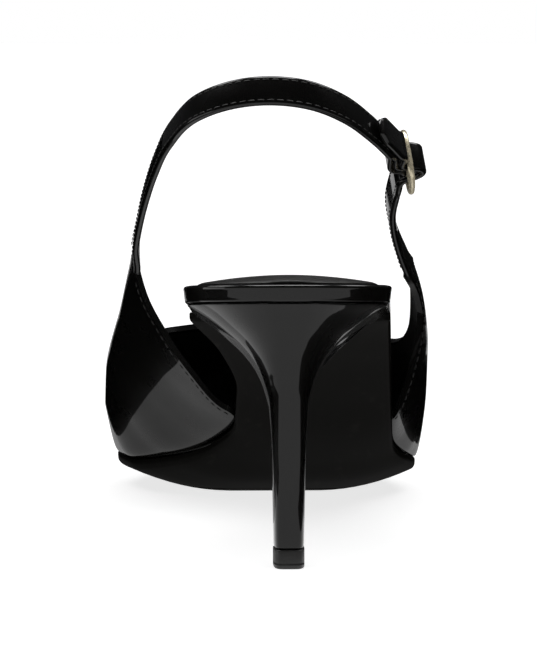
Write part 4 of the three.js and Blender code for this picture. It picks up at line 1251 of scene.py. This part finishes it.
# Studio
def aim(thing, start, end):
    start = Vector(start)
    end = Vector(end)
    thing.location = start
    thing.rotation_euler = (end - start).to_track_quat("-Z", "Y").to_euler()


def make_camera():
    data = bpy.data.cameras.new("camera")
    data.sensor_width = SENSOR_MM
    data.lens = SENSOR_MM * PHOTO_FOCAL_PIXELS * CLOSER / FRAME_HEIGHT_PIXELS
    data.clip_start = 0.05
    data.clip_end = 50
    camera = bpy.data.objects.new("camera", data)
    bpy.context.scene.collection.objects.link(camera)
    aim(camera, to_row(CAMERA_FROM), to_row(CAMERA_TO))
    bpy.context.scene.camera = camera


def softbox(name, place, towards, width, height, power, glossy=False):
    """A soft lamp; most light the floor and the shoe without showing in the patent."""
    data = bpy.data.lights.new(name, "AREA")
    data.shape = "RECTANGLE"
    data.size = width
    data.size_y = height
    data.energy = power
    lamp = bpy.data.objects.new(name, data)
    bpy.context.scene.collection.objects.link(lamp)
    lamp.visible_glossy = glossy
    aim(lamp, place, towards)


def stage_mesh(name, points, faces, made):
    mesh = bpy.data.meshes.new(name)
    mesh.from_pydata(points, [], faces)
    mesh.polygons.foreach_set("use_smooth", np.ones(len(mesh.polygons), bool))
    mesh.materials.append(made)
    thing = bpy.data.objects.new(name, mesh)
    bpy.context.scene.collection.objects.link(thing)
    return thing


def glow(name, strength):
    made = bpy.data.materials.new(name)
    made.use_nodes = True
    nodes = made.node_tree.nodes
    nodes.remove(nodes["Principled BSDF"])
    light = nodes.new("ShaderNodeEmission")
    light.inputs["Strength"].default_value = strength
    made.node_tree.links.new(light.outputs["Emission"], nodes["Material Output"].inputs["Surface"])
    return made


def card(name, centre, across, along, strength):
    """A flat card around the shoe that only shows as a reflection in it."""
    centre = np.array(centre, float)
    across = np.array(across, float) / 2
    along = np.array(along, float) / 2
    corners = [centre - across - along, centre + across - along, centre + across + along,
               centre - across + along]
    thing = stage_mesh(name, [tuple(c) for c in corners], [(0, 1, 2, 3)], glow(name, strength))
    thing.visible_camera = False
    thing.visible_diffuse = False
    thing.visible_shadow = False
    thing.visible_transmission = False


FLOOR_RADIUS = 1.7              # metres
FLOOR_BELOW = -0.00005
TABLE_GLOW = 0.78               # the table is lit from below, so the shadow on it stays faint
BACKGROUND_RADIUS = 12.0


def make_floor():
    table = material("lit_table", (0.8, 0.8, 0.8), 0.9, Specular_IOR_Level=0.0,
                     Emission_Color=(1, 1, 1, 1), Emission_Strength=TABLE_GLOW)
    clouds = noise(table, 12, detail=2.0)
    wire(table, mix_colours(table, clouds, (0.795, 0.795, 0.795), (0.805, 0.805, 0.805)),
         table.node_tree.nodes["Principled BSDF"].inputs["Base Color"])
    rim = [(FLOOR_RADIUS * math.cos(a), FLOOR_RADIUS * math.sin(a), FLOOR_BELOW)
           for a in np.linspace(0, 2 * math.pi, 96, endpoint=False)]
    stage_mesh("floor", rim, [tuple(range(96))], table)


def make_background():
    """A white surround that only the camera sees, all the way round."""
    angles = np.linspace(0, 2 * math.pi, 48, endpoint=False)
    heights = (-12.0, 12.0)
    points = [(BACKGROUND_RADIUS * math.cos(a), BACKGROUND_RADIUS * math.sin(a), z)
              for z in heights for a in angles]
    surround = stage_mesh("background", points, grid_faces(2, 48, closed=True), glow("background", 1.0))
    for way in ("visible_diffuse", "visible_glossy", "visible_shadow", "visible_transmission"):
        setattr(surround, way, False)


def make_lights():
    world = bpy.data.worlds.new("studio")
    world.use_nodes = True
    world.node_tree.nodes["Background"].inputs["Color"].default_value = (0.02, 0.02, 0.021, 1)
    world.node_tree.nodes["Background"].inputs["Strength"].default_value = 1.0
    bpy.context.scene.world = world
    bpy.context.scene.view_settings.view_transform = "Standard"
    softbox("room", (0, 0, 3.0), (0, 0, 0), 5.0, 5.0, 90)
    card("ceiling_glow", (0, 0.3, 2.2), (1.6, 0, 0), (0, 1.4, 0), 7.0)
    card("left_softbox", (-1.3, 0.65, 1.7), (0, 0.9, 0), (0.5, 0, 0.6), 6.0)
    card("right_softbox", (1.3, 0.65, 1.7), (0, 0.9, 0), (-0.5, 0, 0.6), 6.0)
    card("left_strip", (-0.42, -0.12, 0.075), (0, 0.26, 0), (0, 0, 0.14), 1.6)
    # painted shade: a black card seen only in reflections makes the white floor show dark in the patent, as shade
    # beyond the lit patches
    card("shaded_floor_reflection", (0, 0, 0.001), (8, 0, 0), (0, 8, 0), 0.0)
    # painted reflection: glowing cards seen only in reflections stand in for the lit floor; the dimmer card under the
    # shoe is painted shade
    card("floor_reflection_behind", (-0.29, -1.0, 0.0015), (1.82, 0, 0), (0, 1.6, 0), 0.72)
    card("floor_reflection_near", (-0.03, -0.12, 0.0015), (0.18, 0, 0), (0, 0.16, 0), 0.72)
    card("shaded_floor_reflection_under", (0, 0.105, 0.0015), (0.12, 0, 0), (0, 0.29, 0), 0.32)
    card("floor_reflection_far", (0, 0.60, 0.0015), (0.30, 0, 0), (0, 0.70, 0), 0.45)


make_camera()
make_floor()
make_background()
make_lights()
upper_piece()
upper_stitches()
insole_pieces()
outsole_piece()
pad_piece()
heel_piece()
top_piece()
sling_piece()
buckle_strap_piece()
buckle_frame_piece()
prong_piece()

bpy.context.view_layer.update()
